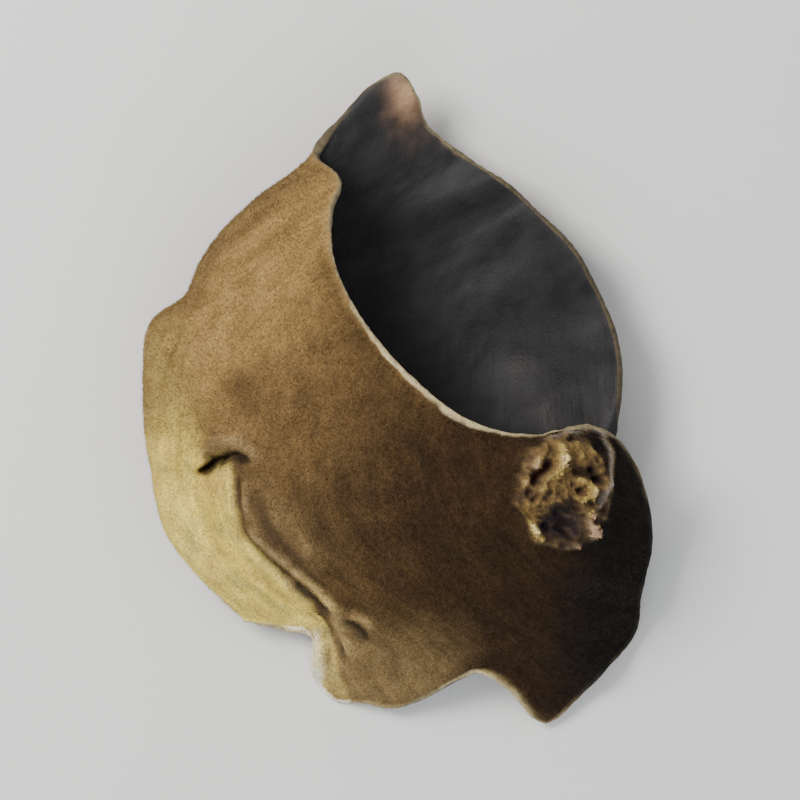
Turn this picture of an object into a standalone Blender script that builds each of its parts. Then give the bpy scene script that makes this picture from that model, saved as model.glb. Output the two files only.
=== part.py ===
"""A dried wood ear mushroom, one folded fruiting body, lying with its velvety back upward.

The ear is a thin leathery sheet, grown as a round disc and dried folded over on its left side:
the near leaf arches on top with its back upward, the far leaf lies under it on the ground with
its dark inner face upward. Plan dimensions are in millimetres (+X right, +Y away), measured from
the middle of the ear's box, and become metres where the meshes are made.
"""
import math

import bmesh
import bpy
import numpy as np
from mathutils import Matrix, Vector

MM = 0.001
WALL = 1.15                  # thickness of the dried flesh
RIM_WALL = 0.72              # thickness at the free rim
RIM_TAPER = 8                # how late the wall thins toward it
FOLD_SOFTNESS = 3.4          # how far the fold's curve reaches into the two leaves
COLUMNS = 66                 # faces of the sheet from the far leaf's side to the knob's
ROWS = 33                    # faces from its low side to its top side
SIDE_SAMPLES = 400           # points that measure each side of the sheet
EVENING_STEPS = 60           # how long the sheet's faces are evened out
SHIFT = (-0.23, 0.22)        # brings the middle of the ear's box onto the origin
GROUND_BLOCK = (100.0, 100.0, 20.0)  # size of the cutter under the ground plane

# The left side of the ear, where the sheet turns under: Y, X.
FOLD_LINE = (
    (-30.0, -11.0), (-24.0, -11.2), (-20.4, -12.1), (-17.2, -15.0), (-14.6, -17.4),
    (-11.9, -19.3), (-5.9, -20.8), (-0.5, -21.3), (5.6, -20.4), (11.1, -17.9),
    (16.1, -12.95), (20.1, -7.9), (24.1, -5.45), (28.4, -1.7), (33.0, 2.0),
)

# The free rim, anticlockwise: name, X, Y, leaf (1 near, -1 far, 0 on the fold itself).
RIM = (
    ("over knob", 16.3, -2.5, 1),
    ("near rim 1", 11.1, -3.5, 1),
    ("near rim 2", 5.6, -1.9, 1),
    ("near rim 3", 1.1, 1.7, 1),
    ("near rim 4", -2.7, 6.1, 1),
    ("near rim 5", -5.3, 11.1, 1),
    ("near rim 6", -5.5, 16.0, 1),
    ("near rim 7", -4.7, 18.9, 1),
    ("top corner", -6.9, 21.3, 1),
    ("far shoulder", -4.9, 24.2, -1),
    ("tip left", -2.3, 27.0, -1),
    ("far tip", 0.2, 28.1, -1),
    ("tip right", 1.8, 26.2, -1),
    ("far rim 1", 2.9, 23.4, -1),
    ("far rim 2", 6.7, 20.5, -1),
    ("far rim 3", 11.6, 17.0, -1),
    ("far rim 4", 16.5, 11.5, -1),
    ("far rim 5", 19.3, 4.1, -1),
    ("far rim 6", 18.5, -3.9, -1),
    ("far rim 7", 13.4, -9.9, -1),
    ("far rim 8", 6.4, -13.9, -1),
    ("far rim 9", -1.1, -16.9, -1),
    ("low corner", -12.6, -19.4, 0),
    ("pleat lobe", -9.4, -20.4, 1),
    ("lobe corner", -7.2, -20.8, 1),
    ("tongue", -7.2, -24.2, 1),
    ("tongue tip", -5.4, -26.5, 1),
    ("low lobe 1", -3.3, -26.5, 1),
    ("low lobe 2", 0.4, -26.9, 1),
    ("recess 1", 6.3, -23.9, 1),
    ("recess 2", 9.6, -25.3, 1),
    ("hook", 12.9, -28.4, 1),
    ("right rim 1", 17.5, -24.5, 1),
    ("right rim 2", 21.2, -18.3, 1),
    ("right rim 3", 22.2, -11.5, 1),
    ("beside knob", 19.9, -4.7, 1),
)
CORNERS = ("over knob", "far tip", "far rim 6", "hook")  # where the sheet's four sides meet

# Heights of the middle of the wall over the ground: X, Y, Z.
NEAR_LEAF = (
    (-3.0, -7.0, 15.4), (-13.0, -2.0, 14.2), (-17.0, 5.0, 13.0), (-12.0, 12.0, 12.6),
    (-9.0, 18.0, 9.8), (-7.5, 22.0, 7.4), (-6.0, 14.0, 12.2), (1.0, 1.7, 13.4),
    (5.6, -1.9, 13.6), (11.0, -3.5, 12.8), (16.3, -2.5, 11.2), (20.0, -4.7, 9.2),
    (10.0, -12.0, 13.0), (18.0, -14.0, 8.4), (22.2, -11.5, 5.0), (21.2, -18.3, 2.6),
    (17.5, -24.5, 1.0), (12.9, -28.4, 0.7), (9.9, -25.4, 3.4), (6.5, -23.8, 4.4),
    (4.0, -18.0, 10.0), (0.9, -26.6, 1.2), (-3.4, -26.6, 0.9), (-6.5, -24.6, 0.9),
    (-4.0, -20.0, 7.6), (-9.5, -20.6, 2.6), (-13.0, -16.0, 8.0), (-18.0, -10.0, 11.2),
)
FAR_LEAF = (
    (-20.0, -1.0, 0.9), (-12.0, 0.0, 0.45), (0.0, 2.0, 0.4), (-9.0, -14.0, 0.5),
    (-13.4, -20.2, 1.2), (-10.0, 14.0, 1.4), (-6.0, 22.0, 4.0), (0.1, 28.1, 6.6),
    (6.0, 22.0, 3.6), (11.3, 18.1, 4.8), (16.5, 11.5, 5.8), (19.3, 4.1, 6.2),
    (18.5, -3.9, 5.2), (13.4, -9.9, 3.6), (6.4, -13.9, 2.4), (-1.1, -16.9, 1.4),
    (10.0, 4.0, 0.8), (2.0, 16.0, 1.5),
)
PLATE_EASE = 4.0             # how loosely a leaf follows its heights

# The pleat on the left of the back: X, Y, depth.
PLEAT = (
    (-18.5, 8.0, 0.0), (-18.6, 4.2, 0.8), (-17.5, -0.2, 1.3), (-15.9, -4.2, 2.3),
    (-14.5, -8.0, 2.8), (-13.6, -11.6, 2.9), (-11.4, -14.6, 3.2), (-8.2, -17.0, 3.3),
    (-4.9, -19.6, 2.4), (-2.6, -22.0, 0.0),
)
PLEAT_DOME_SIDE = 1.9        # width of its steep side
PLEAT_LOBE_SIDE = 3.6        # width of its gentle side
PLEAT_LIP = 0.45             # how far the dome side leans over it, as a share of its depth
PLEAT_RISE = 0.4             # how far that lean lifts the dome side, as a share of it
PLEAT_LIP_START = 1.0        # over what width that lean begins
PLEAT_FOLD_FADE = 3          # how fast it fades where the sheet turns under

# The notch in the outline where the pleat meets the fold: the lobe below it stands out and
# the dome's edge above it draws in.
NOTCH_Y = 7.4
NOTCH_SOFTNESS = 0.45        # how softly the outline steps from one to the other
NOTCH_OUT = (0.9, 5.0)       # how far the lobe stands out, and over what length
NOTCH_IN = (1.8, 6.0)        # how far the dome draws in, and over what length
NOTCH_REACH = 5.0            # how far the step reaches from the fold into the two leaves

# Broad ripples near the rim: waves across the sheet, waves up it, height.
RIPPLES = ((2.6, 3.3, 0.50), (5.3, -1.4, 0.25), (-4.2, 6.6, 0.20))
RIPPLE_RISE = 7.0            # how steeply they grow toward the rim

KNOB_AT = (14.5, -8.5)       # middle of the attachment scar on the near leaf
KNOB_RADIUS = 4.2
KNOB_SEGMENTS = 28
# Swellings around the torn ring: count, share of its height, turn.
KNOB_LUMPS = ((7, 0.24, 0.0), (3, 0.19, 1.0))
KNOB_OUTLINE = (5, 0.06, 0.5)  # corners of its outline: count, share of its radius, turn
# Section of the torn ring: share of the radius, height over the back.
KNOB_SECTION = (
    (1.12, -0.35), (1.00, 0.55), (0.84, 1.35), (0.62, 1.45), (0.44, 0.85), (0.22, 0.35),
)
KNOB_SEAT = 0.45             # how deep its underside sits in the wall
SLOPE_REACH = 0.5            # how far to each side the back's slope under it is measured


def periodic(values, station):
    """Smooth closed curve through rows of values, read at station numbers."""
    count = len(values)
    start = np.floor(station).astype(int)
    part = (station - start)[..., None]
    a, b, c, d = (values[(start + step) % count] for step in (-1, 0, 1, 2))
    return b + 0.5 * part * (c - a + part * (2 * a - 5 * b + 4 * c - d
                                             + part * (3 * (b - c) + d - a)))


def fold_x(y):
    """X of the left side of the ear at each Y, on a smooth line through FOLD_LINE."""
    ys, xs = np.array(FOLD_LINE).T
    slope = np.gradient(xs, ys)
    i = np.clip(np.searchsorted(ys, y) - 1, 0, len(ys) - 2)
    step = ys[i + 1] - ys[i]
    s = (y - ys[i]) / step
    rise = s * s * (3 - 2 * s)
    bend = s * (1 - s) * step * ((1 - s) * slope[i] - s * slope[i + 1])
    return xs[i] + rise * (xs[i + 1] - xs[i]) + bend


def plate_weight(d2):
    return d2 * np.log(np.maximum(d2, 1e-9))


def plate(points):
    """Height field of a thin springy plate laid over the points."""
    spots = np.array(points)
    plan, count = spots[:, :2], len(spots)
    apart = ((plan[:, None] - plan[None]) ** 2).sum(-1)
    flat = np.column_stack([np.ones(count), plan])
    system = np.block([[plate_weight(apart) + PLATE_EASE * np.eye(count), flat],
                       [flat.T, np.zeros((3, 3))]])
    pull = np.linalg.solve(system, np.append(spots[:, 2], np.zeros(3)))

    def height(x, y):
        away = (x[..., None] - plan[:, 0]) ** 2 + (y[..., None] - plan[:, 1]) ** 2
        return plate_weight(away) @ pull[:count] + pull[count] + pull[-2] * x + pull[-1] * y

    return height


def rim_on_sheet():
    """The rim on the unfolded sheet: distance from the fold (far leaf negative), Y."""
    x, y, leaf = np.array([spot[1:] for spot in RIM]).T
    reach = np.maximum(x - fold_x(y), 0) / FOLD_SOFTNESS
    return np.column_stack([leaf * FOLD_SOFTNESS * np.sqrt((1 + reach) ** 2 - 1), y])


def pleat_route(steps=12):
    """Points along the pleat, smooth through PLEAT: X, Y, depth."""
    spots = np.array(PLEAT)
    spots = np.vstack([spots[:1], spots, spots[-1:]])
    station = 1 + np.linspace(0, len(PLEAT) - 1 - 1e-6, steps * (len(PLEAT) - 1))
    return periodic(spots, station)


def pleated(x, y, z, near_share):
    """Press the pleat into the near leaf and lean its dome side over it."""
    route = pleat_route()
    dx = x[..., None] - route[:, 0]
    dy = y[..., None] - route[:, 1]
    nearest = (dx * dx + dy * dy).argmin(-1)
    along = np.gradient(route[:, :2], axis=0)
    along /= np.linalg.norm(along, axis=1)[:, None]
    pick = nearest[..., None]
    off_x = np.take_along_axis(dx, pick, -1)[..., 0]
    off_y = np.take_along_axis(dy, pick, -1)[..., 0]
    side = along[nearest, 0] * off_y - along[nearest, 1] * off_x
    away = np.hypot(off_x, off_y)
    depth = route[nearest, 2] * near_share ** PLEAT_FOLD_FADE
    width = np.where(side > 0, PLEAT_DOME_SIDE, PLEAT_LOBE_SIDE)
    groove = depth * np.exp(-(away / width) ** 2)
    lip = np.where(side > 0, np.exp(-((away - PLEAT_DOME_SIDE) / PLEAT_DOME_SIDE) ** 2), 0)
    lean = PLEAT_LIP * lip * depth * np.minimum(away / PLEAT_LIP_START, 1)
    x = x + along[nearest, 1] * lean
    y = y - along[nearest, 0] * lean
    return x, y, z - groove + PLEAT_RISE * lean


def notched(x, y, off_fold):
    """Step the fold's outline out below the notch and in above it."""
    above = y - NOTCH_Y
    dome_share = 1 / (1 + np.exp(-above / NOTCH_SOFTNESS))
    step_in = NOTCH_IN[0] * dome_share * np.exp(-(above / NOTCH_IN[1]) ** 2)
    step_out = NOTCH_OUT[0] * (1 - dome_share) * np.exp(-(above / NOTCH_OUT[1]) ** 2)
    return x + (step_in - step_out) * np.exp(-(off_fold / NOTCH_REACH) ** 2)


def rim_sides():
    """The four sides of the sheet between CORNERS, each a function of 0 to 1 along it."""
    names = [spot[0] for spot in RIM]
    ends = [names.index(corner) for corner in CORNERS] + [len(RIM)]
    sheet = rim_on_sheet()
    sides = []
    for start, end in zip(ends, ends[1:]):
        line = periodic(sheet, np.linspace(start, end, SIDE_SAMPLES))
        length = np.append(0, np.cumsum(np.linalg.norm(np.diff(line, axis=0), axis=1)))
        sides.append((length / length[-1], line))
    return sides


def along_side(side, share):
    length, line = side
    return np.stack([np.interp(share, length, line[:, axis]) for axis in (0, 1)], -1)


def stretched_sheet(across, up):
    """Places on the unfolded sheet, stretched between its four sides."""
    top, far, low, right = rim_sides()
    u, v = across[..., None], up[..., None]
    top_end, far_end, low_end, right_end = (side[1][0] for side in (top, far, low, right))
    between_low_and_top = (1 - v) * along_side(low, across) + v * along_side(top, 1 - across)
    between_far_and_right = (1 - u) * along_side(far, 1 - up) + u * along_side(right, up)
    corners = ((1 - u) * (1 - v) * low_end + u * (1 - v) * right_end
               + (1 - u) * v * far_end + u * v * top_end)
    return between_low_and_top + between_far_and_right - corners


def evened(sheet, up):
    """Space the sheet's points evenly toward its top side, each between its neighbours."""
    even = sheet.copy()
    for _ in range(EVENING_STEPS):
        even[1:-1, 1:-1] = (even[:-2, 1:-1] + even[2:, 1:-1]
                            + even[1:-1, :-2] + even[1:-1, 2:]) / 4
    return sheet + up[..., None] * (even - sheet)


def ear_surface(columns, rows):
    """Middle of the wall as grids of X, Y, Z, and how near each point is to the rim."""
    across, up = np.meshgrid(np.linspace(0, 1, columns + 1), np.linspace(0, 1, rows + 1))
    sheet = evened(stretched_sheet(across, up), up)
    fold, y = sheet[..., 0] / FOLD_SOFTNESS, sheet[..., 1]
    x = notched(fold_x(y) + FOLD_SOFTNESS * (np.sqrt(1 + fold ** 2) - 1), y, sheet[..., 0])
    near_share = 0.5 + 0.5 * fold / np.sqrt(1 + fold ** 2)
    low, top = plate(FAR_LEAF)(x, y), plate(NEAR_LEAF)(x, y)
    z = low + (top - low) * near_share
    nearness = np.maximum(abs(2 * across - 1), abs(2 * up - 1))
    for waves_across, waves_up, height in RIPPLES:
        wave = np.sin(2 * math.pi * (waves_across * across + waves_up * up))
        z = z + height * nearness ** RIPPLE_RISE * wave
    return pleated(x, y, z, near_share), nearness


def material(name, colour, roughness):
    made = bpy.data.materials.new(name)
    made.use_nodes = True
    shader = made.node_tree.nodes["Principled BSDF"]
    shader.inputs["Base Color"].default_value = (*colour, 1)
    shader.inputs["Roughness"].default_value = roughness
    shader.inputs["Metallic"].default_value = 0
    return made


def add_object(name, mesh, collection):
    made = bpy.data.objects.new(name, mesh)
    collection.objects.link(made)
    return made


def placed(spot):
    """A place in the plan's millimetres, as metres around the middle of the ear's box."""
    return (spot + Vector((*SHIFT, 0))) * MM


def make_sheet(collection):
    """The fruiting body: a flat grid moved to the folded ear's form, then thickened."""
    (x, y, z), nearness = ear_surface(COLUMNS, ROWS)
    bm = bmesh.new()
    bmesh.ops.create_grid(bm, x_segments=COLUMNS, y_segments=ROWS, size=0.5)
    bm.verts.index_update()
    thinning = {}
    for vert in bm.verts:
        row, column = round((vert.co.y + 0.5) * ROWS), round((vert.co.x + 0.5) * COLUMNS)
        thinning[vert.index] = (1 - RIM_WALL / WALL) * nearness[row, column] ** RIM_TAPER
        vert.co = placed(Vector((x[row, column], y[row, column], z[row, column])))
    mesh = bpy.data.meshes.new("wood_ear")
    bm.to_mesh(mesh)
    bm.free()
    for slot in (material("velvety_back", (0.30, 0.18, 0.08), 0.85),
                 material("dark_inner_face", (0.012, 0.010, 0.011), 0.4),
                 material("pale_rim", (0.55, 0.43, 0.22), 0.7)):
        mesh.materials.append(slot)
    ear = add_object("wood_ear", mesh, collection)
    thickness = ear.vertex_groups.new(name="thickness")
    for index, thinned in thinning.items():
        thickness.add([index], 1 - thinned, "REPLACE")
    halves = ear.modifiers.new("halves", "TRIANGULATE")
    halves.quad_method = "BEAUTY"
    wall = ear.modifiers.new("wall", "SOLIDIFY")
    wall.thickness = WALL * MM
    wall.offset = 0
    wall.vertex_group = thickness.name
    wall.material_offset = 1
    wall.material_offset_rim = 2
    return ear


def waved(turn, count, share, start):
    return share * math.cos(count * turn + start)


def back_at(near, x, y):
    """The near leaf's height at one place, and the way out of its back there."""
    reach = SLOPE_REACH
    spots_x = np.array([x, x - reach, x + reach, x, x])
    spots_y = np.array([y, y, y, y - reach, y + reach])
    middle, left, right, front, back = near(spots_x, spots_y)
    return middle, Vector((left - right, front - back, 2 * reach)).normalized()


def make_knob(collection):
    """The torn ring of the attachment scar: a spun section with lumps, bent onto the back."""
    bm = bmesh.new()
    section = [(KNOB_RADIUS * share, height) for share, height in KNOB_SECTION]
    section = [(0.0, -KNOB_SEAT), (section[0][0], -KNOB_SEAT)] + section + [(0.0, section[-1][1])]
    spots = [bm.verts.new((radius, 0, height)) for radius, height in section]
    line = [bm.edges.new(pair) for pair in zip(spots, spots[1:])]
    bmesh.ops.spin(bm, geom=spots + line, cent=(0, 0, 0), axis=(0, 0, 1),
                   angle=2 * math.pi, steps=KNOB_SEGMENTS, use_merge=True)
    bmesh.ops.remove_doubles(bm, verts=bm.verts, dist=1e-4)
    bmesh.ops.recalc_face_normals(bm, faces=bm.faces)
    near = plate(NEAR_LEAF)
    for vert in bm.verts:
        turn = math.atan2(vert.co.y, vert.co.x)
        swelling = sum(waved(turn, *lumps) for lumps in KNOB_LUMPS)
        swelling *= min(vert.co.xy.length / KNOB_RADIUS, 1) if vert.co.z > 0 else 0
        x, y = Vector(KNOB_AT) + vert.co.xy * (1 + waved(turn, *KNOB_OUTLINE))
        middle, out = back_at(near, x, y)
        rise = WALL / 2 + vert.co.z * (1 + swelling)
        vert.co = placed(Vector((x, y, middle)) + out * rise)
    mesh = bpy.data.meshes.new("knob")
    bm.to_mesh(mesh)
    bm.free()
    mesh.materials.append(material("torn_flesh", (0.35, 0.24, 0.09), 0.8))
    return add_object("knob", mesh, collection)


def make_ground_cutter(collection):
    """A block under the ground plane, which leaves the ear's underside flat where it rests."""
    bpy.ops.mesh.primitive_cube_add(size=1)
    block = bpy.context.object
    block.name = "ground_cutter"
    for owner in list(block.users_collection):
        owner.objects.unlink(block)
    collection.objects.link(block)
    block.data.transform(Matrix.Diagonal((*GROUND_BLOCK, 1)) * MM)
    block.location = (0, 0, -GROUND_BLOCK[2] * MM / 2)
    return block


def combine(ear, other, operation):
    step = ear.modifiers.new(other.name, "BOOLEAN")
    step.object = other
    step.operation = operation
    step.solver = "EXACT"
    other.hide_render = True
    other.display_type = "WIRE"


def main():
    for old in list(bpy.data.objects):
        bpy.data.objects.remove(old)
    parts = bpy.data.collections.new("wood_ear_mushroom")
    cutters = bpy.data.collections.new("cutters")
    bpy.context.scene.collection.children.link(parts)
    bpy.context.scene.collection.children.link(cutters)
    ear = make_sheet(parts)
    combine(ear, make_knob(cutters), "UNION")
    combine(ear, make_ground_cutter(cutters), "DIFFERENCE")


main()
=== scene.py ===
import math

from collections import namedtuple

import bmesh
import bpy
import numpy as np
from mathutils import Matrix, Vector
from mathutils.bvhtree import BVHTree


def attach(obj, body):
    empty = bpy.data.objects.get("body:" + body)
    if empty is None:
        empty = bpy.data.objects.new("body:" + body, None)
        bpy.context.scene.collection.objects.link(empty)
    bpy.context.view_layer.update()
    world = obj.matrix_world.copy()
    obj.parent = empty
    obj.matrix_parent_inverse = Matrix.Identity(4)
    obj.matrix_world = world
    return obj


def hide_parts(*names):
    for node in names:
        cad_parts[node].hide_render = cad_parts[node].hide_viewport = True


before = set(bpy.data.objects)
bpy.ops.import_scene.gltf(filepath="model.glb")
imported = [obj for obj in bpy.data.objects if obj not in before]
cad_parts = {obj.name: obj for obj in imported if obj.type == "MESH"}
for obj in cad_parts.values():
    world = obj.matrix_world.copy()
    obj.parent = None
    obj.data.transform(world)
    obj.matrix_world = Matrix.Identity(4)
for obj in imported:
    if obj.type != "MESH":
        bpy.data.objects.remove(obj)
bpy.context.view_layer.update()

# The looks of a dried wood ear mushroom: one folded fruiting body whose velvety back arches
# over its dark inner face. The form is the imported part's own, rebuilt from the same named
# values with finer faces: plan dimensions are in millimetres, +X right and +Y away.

MM = 0.001
WALL = 1.15                  # thickness of the dried flesh
RIM_WALL = 0.72              # thickness at the free rim
RIM_TAPER = 8                # how late the wall thins toward it
FOLD_SOFTNESS = 3.4          # how far the fold's curve reaches into the two leaves
COLUMNS = 66                 # spaces of the guide grid from the far leaf's side to the knob's
ROWS = 33                    # spaces from its low side to its top side
SIDE_SAMPLES = 400           # points that measure each side of the sheet
EVENING_STEPS = 60           # how long the guide grid is evened out
SHIFT = (-0.23, 0.22)        # brings the middle of the ear's box onto the origin

# The left side of the ear, where the sheet turns under: Y, X.
FOLD_LINE = (
    (-30.0, -11.0), (-24.0, -11.2), (-20.4, -12.1), (-17.2, -15.0), (-14.6, -17.4),
    (-11.9, -19.3), (-5.9, -20.8), (-0.5, -21.3), (5.6, -20.4), (11.1, -17.9),
    (16.1, -12.95), (20.1, -7.9), (24.1, -5.45), (28.4, -1.7), (33.0, 2.0),
)

# The free rim, anticlockwise: name, X, Y, leaf (1 near, -1 far, 0 on the fold itself), and how
# pale it is there, from 0, as dark as the flesh, to 1.
RIM = (
    ("over knob", 16.3, -2.5, 1, 0.35),
    ("near rim 1", 11.1, -3.5, 1, 0.85),
    ("near rim 2", 5.6, -1.9, 1, 1.0),
    ("near rim 3", 1.1, 1.7, 1, 1.0),
    ("near rim 4", -2.7, 6.1, 1, 0.9),
    ("near rim 5", -5.3, 11.1, 1, 0.65),
    ("near rim 6", -5.5, 16.0, 1, 0.4),
    ("near rim 7", -4.7, 18.9, 1, 0.35),
    ("top corner", -6.9, 21.3, 1, 0.2),
    ("far shoulder", -4.9, 24.2, -1, 0.05),
    ("tip left", -2.3, 27.0, -1, 0.1),
    ("far tip", 0.2, 28.1, -1, 0.35),
    ("tip right", 1.8, 26.2, -1, 0.75),
    ("far rim 1", 2.9, 23.4, -1, 0.35),
    ("far rim 2", 6.7, 20.5, -1, 0.18),
    ("far rim 3", 11.6, 17.0, -1, 0.12),
    ("far rim 4", 16.5, 11.5, -1, 0.1),
    ("far rim 5", 19.3, 4.1, -1, 0.1),
    ("far rim 6", 18.5, -3.9, -1, 0.1),
    ("far rim 7", 13.4, -9.9, -1, 0.1),
    ("far rim 8", 6.4, -13.9, -1, 0.12),
    ("far rim 9", -1.1, -16.9, -1, 0.15),
    ("low corner", -12.6, -19.4, 0, 0.5),
    ("pleat lobe", -9.4, -20.4, 1, 0.75),
    ("lobe corner", -7.2, -20.8, 1, 0.9),
    ("tongue", -7.2, -24.2, 1, 1.0),
    ("tongue tip", -5.4, -26.5, 1, 0.8),
    ("low lobe 1", -3.3, -26.5, 1, 0.4),
    ("low lobe 2", 0.4, -26.9, 1, 0.35),
    ("recess 1", 6.3, -23.9, 1, 0.85),
    ("recess 2", 9.6, -25.3, 1, 0.8),
    ("hook", 12.9, -28.4, 1, 0.55),
    ("right rim 1", 17.5, -24.5, 1, 0.12),
    ("right rim 2", 21.2, -18.3, 1, 0.05),
    ("right rim 3", 22.2, -11.5, 1, 0.05),
    ("beside knob", 19.9, -4.7, 1, 0.3),
)
RIM_BLEND = 2.2              # over what length its paleness passes from one place to the next
CORNERS = ("over knob", "far tip", "far rim 6", "hook")  # where the sheet's four sides meet

# Heights of the middle of the wall over the ground: X, Y, Z.
NEAR_LEAF = (
    (-3.0, -7.0, 15.4), (-13.0, -2.0, 14.2), (-17.0, 5.0, 13.0), (-12.0, 12.0, 12.6),
    (-9.0, 18.0, 9.8), (-7.5, 22.0, 7.4), (-6.0, 14.0, 12.2), (1.0, 1.7, 13.4),
    (5.6, -1.9, 13.6), (11.0, -3.5, 12.8), (16.3, -2.5, 11.2), (20.0, -4.7, 9.2),
    (10.0, -12.0, 13.0), (18.0, -14.0, 8.4), (22.2, -11.5, 5.0), (21.2, -18.3, 2.6),
    (17.5, -24.5, 1.0), (12.9, -28.4, 0.7), (9.9, -25.4, 3.4), (6.5, -23.8, 4.4),
    (4.0, -18.0, 10.0), (0.9, -26.6, 1.2), (-3.4, -26.6, 0.9), (-6.5, -24.6, 0.9),
    (-4.0, -20.0, 7.6), (-9.5, -20.6, 2.6), (-13.0, -16.0, 8.0), (-18.0, -10.0, 11.2),
)
FAR_LEAF = (
    (-20.0, -1.0, 0.9), (-12.0, 0.0, 0.45), (0.0, 2.0, 0.4), (-9.0, -14.0, 0.5),
    (-13.4, -20.2, 1.2), (-10.0, 14.0, 1.4), (-6.0, 22.0, 4.0), (0.1, 28.1, 6.6),
    (6.0, 22.0, 3.6), (11.3, 18.1, 4.8), (16.5, 11.5, 5.8), (19.3, 4.1, 6.2),
    (18.5, -3.9, 5.2), (13.4, -9.9, 3.6), (6.4, -13.9, 2.4), (-1.1, -16.9, 1.4),
    (10.0, 4.0, 0.8), (2.0, 16.0, 1.5),
)
PLATE_EASE = 4.0             # how loosely a leaf follows its heights

# The pleat on the left of the back: X, Y, depth.
PLEAT = (
    (-18.5, 8.0, 0.0), (-18.6, 4.2, 0.8), (-17.5, -0.2, 1.3), (-15.9, -4.2, 2.3),
    (-14.5, -8.0, 2.8), (-13.6, -11.6, 2.9), (-11.4, -14.6, 3.2), (-8.2, -17.0, 3.3),
    (-4.9, -19.6, 2.4), (-2.6, -22.0, 0.0),
)
PLEAT_DOME_SIDE = 1.9        # width of its steep side
PLEAT_LOBE_SIDE = 3.6        # width of its gentle side
PLEAT_LIP = 0.45             # how far the dome side leans over it, as a share of its depth
PLEAT_RISE = 0.4             # how far that lean lifts the dome side, as a share of it
PLEAT_LIP_START = 1.0        # over what width that lean begins
PLEAT_FOLD_FADE = 3          # how fast it fades where the sheet turns under

# The notch in the outline where the pleat meets the fold: the lobe below it stands out and
# the dome's edge above it draws in.
NOTCH_Y = 7.4
NOTCH_SOFTNESS = 0.45        # how softly the outline steps from one to the other
NOTCH_OUT = (0.9, 5.0)       # how far the lobe stands out, and over what length
NOTCH_IN = (1.8, 6.0)        # how far the dome draws in, and over what length
NOTCH_REACH = 5.0            # how far the step reaches from the fold into the two leaves

# Broad ripples near the rim: waves across the sheet, waves up it, height.
RIPPLES = ((2.6, 3.3, 0.50), (5.3, -1.4, 0.25), (-4.2, 6.6, 0.20))
RIPPLE_RISE = 7.0            # how steeply they grow toward the rim
RIM_CORNER = 12              # how squarely nearness to the rim turns the sheet's corners

# The fine form, which only these looks have.
FINE_COLUMNS = 150           # faces across and up the sheet before they are made smaller
FINE_ROWS = 75
BORDER_FACES = 2.2           # how many of them the finer rim is wide
SHEET_SPAN = (92.0, 45.0)    # about how far the sheet reaches across and up
SLOPE_STEP = 0.0015          # over what share of the sheet its slope is measured
RIM_BULGE = 0.26             # how far the rounded rim stands out past the leaf's faces
RIM_TURNS = 6                # faces over the rounded rim
RIM_FORM = ((0.10, 0.15, 0.26), (-0.07, 0.95, 0.40))  # lip and hollow: height, place, width
RIM_WAVES = (0.16, 1.4)      # the rim's small waves: height, how far in they reach
LEAF_WAVES = (0.20, 3.0)     # the leaves' broad waves: height, how far in they begin
GROUND_GAP = 0.12            # how near the ground the flesh comes before it flattens
KNOB_AT = (14.9, -8.15)      # middle of the attachment scar
KNOB_ON_SHEET = (37.9, -8.5)  # the same place on the unfolded sheet
KNOB_REACH = 5.5             # how far its torn flesh reaches
KNOB_SHAPE = (0.86, 1.10)    # its width and its height, as shares of that
KNOB_FADE = 1.3              # over what width it passes into the back
LINE_WANDER = 0.15           # how unsteadily the creases and ridges run
LINE_UNEVEN = 0.45           # how unevenly high they are
LINE_END = 1.3               # over what length they fade out at their ends
UNTANGLE_ROUNDS = 14         # how often, at most, faces that cross in a crease are evened out
UNTANGLE_STEPS = 6           # how long, each time
UNTANGLE_AROUND = 0.6        # how far the faces beside them follow

# Creases and ridges of the back, drawn along lines: points X, Y; height, or a negative depth;
# width on the line's left and on its right; how far the left side leans over it.
DIMPLE = (
    (-17.7, -6.9), (-17.1, -6.3), (-16.3, -5.6), (-15.3, -5.1), (-14.2, -4.95), (-13.3, -5.4),
    (-12.8, -6.0),
)
PLEAT_CREASE = (
    (-13.95, -6.4), (-13.95, -8.4), (-13.85, -10.0), (-13.65, -11.4), (-13.2, -12.3),
    (-12.4, -13.3), (-11.4, -14.25), (-10.4, -15.0), (-9.6, -15.6), (-8.8, -16.2),
)
LOW_PLEAT_CREASE = (
    (-9.2, -15.7), (-8.5, -16.6), (-7.8, -17.3), (-6.9, -18.1), (-6.0, -18.9), (-5.3, -19.6),
)
SOFT_CREASE = (
    (-12.5, -7.6), (-12.3, -8.8), (-11.9, -10.1), (-11.3, -11.4), (-10.3, -12.6), (-9.3, -13.6),
    (-8.3, -14.5), (-7.4, -15.2),
)
RIDGE_CREASE = ((-9.4, -14.2), (-8.6, -15.0), (-7.6, -15.8), (-6.7, -16.6), (-5.8, -17.4))
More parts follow.
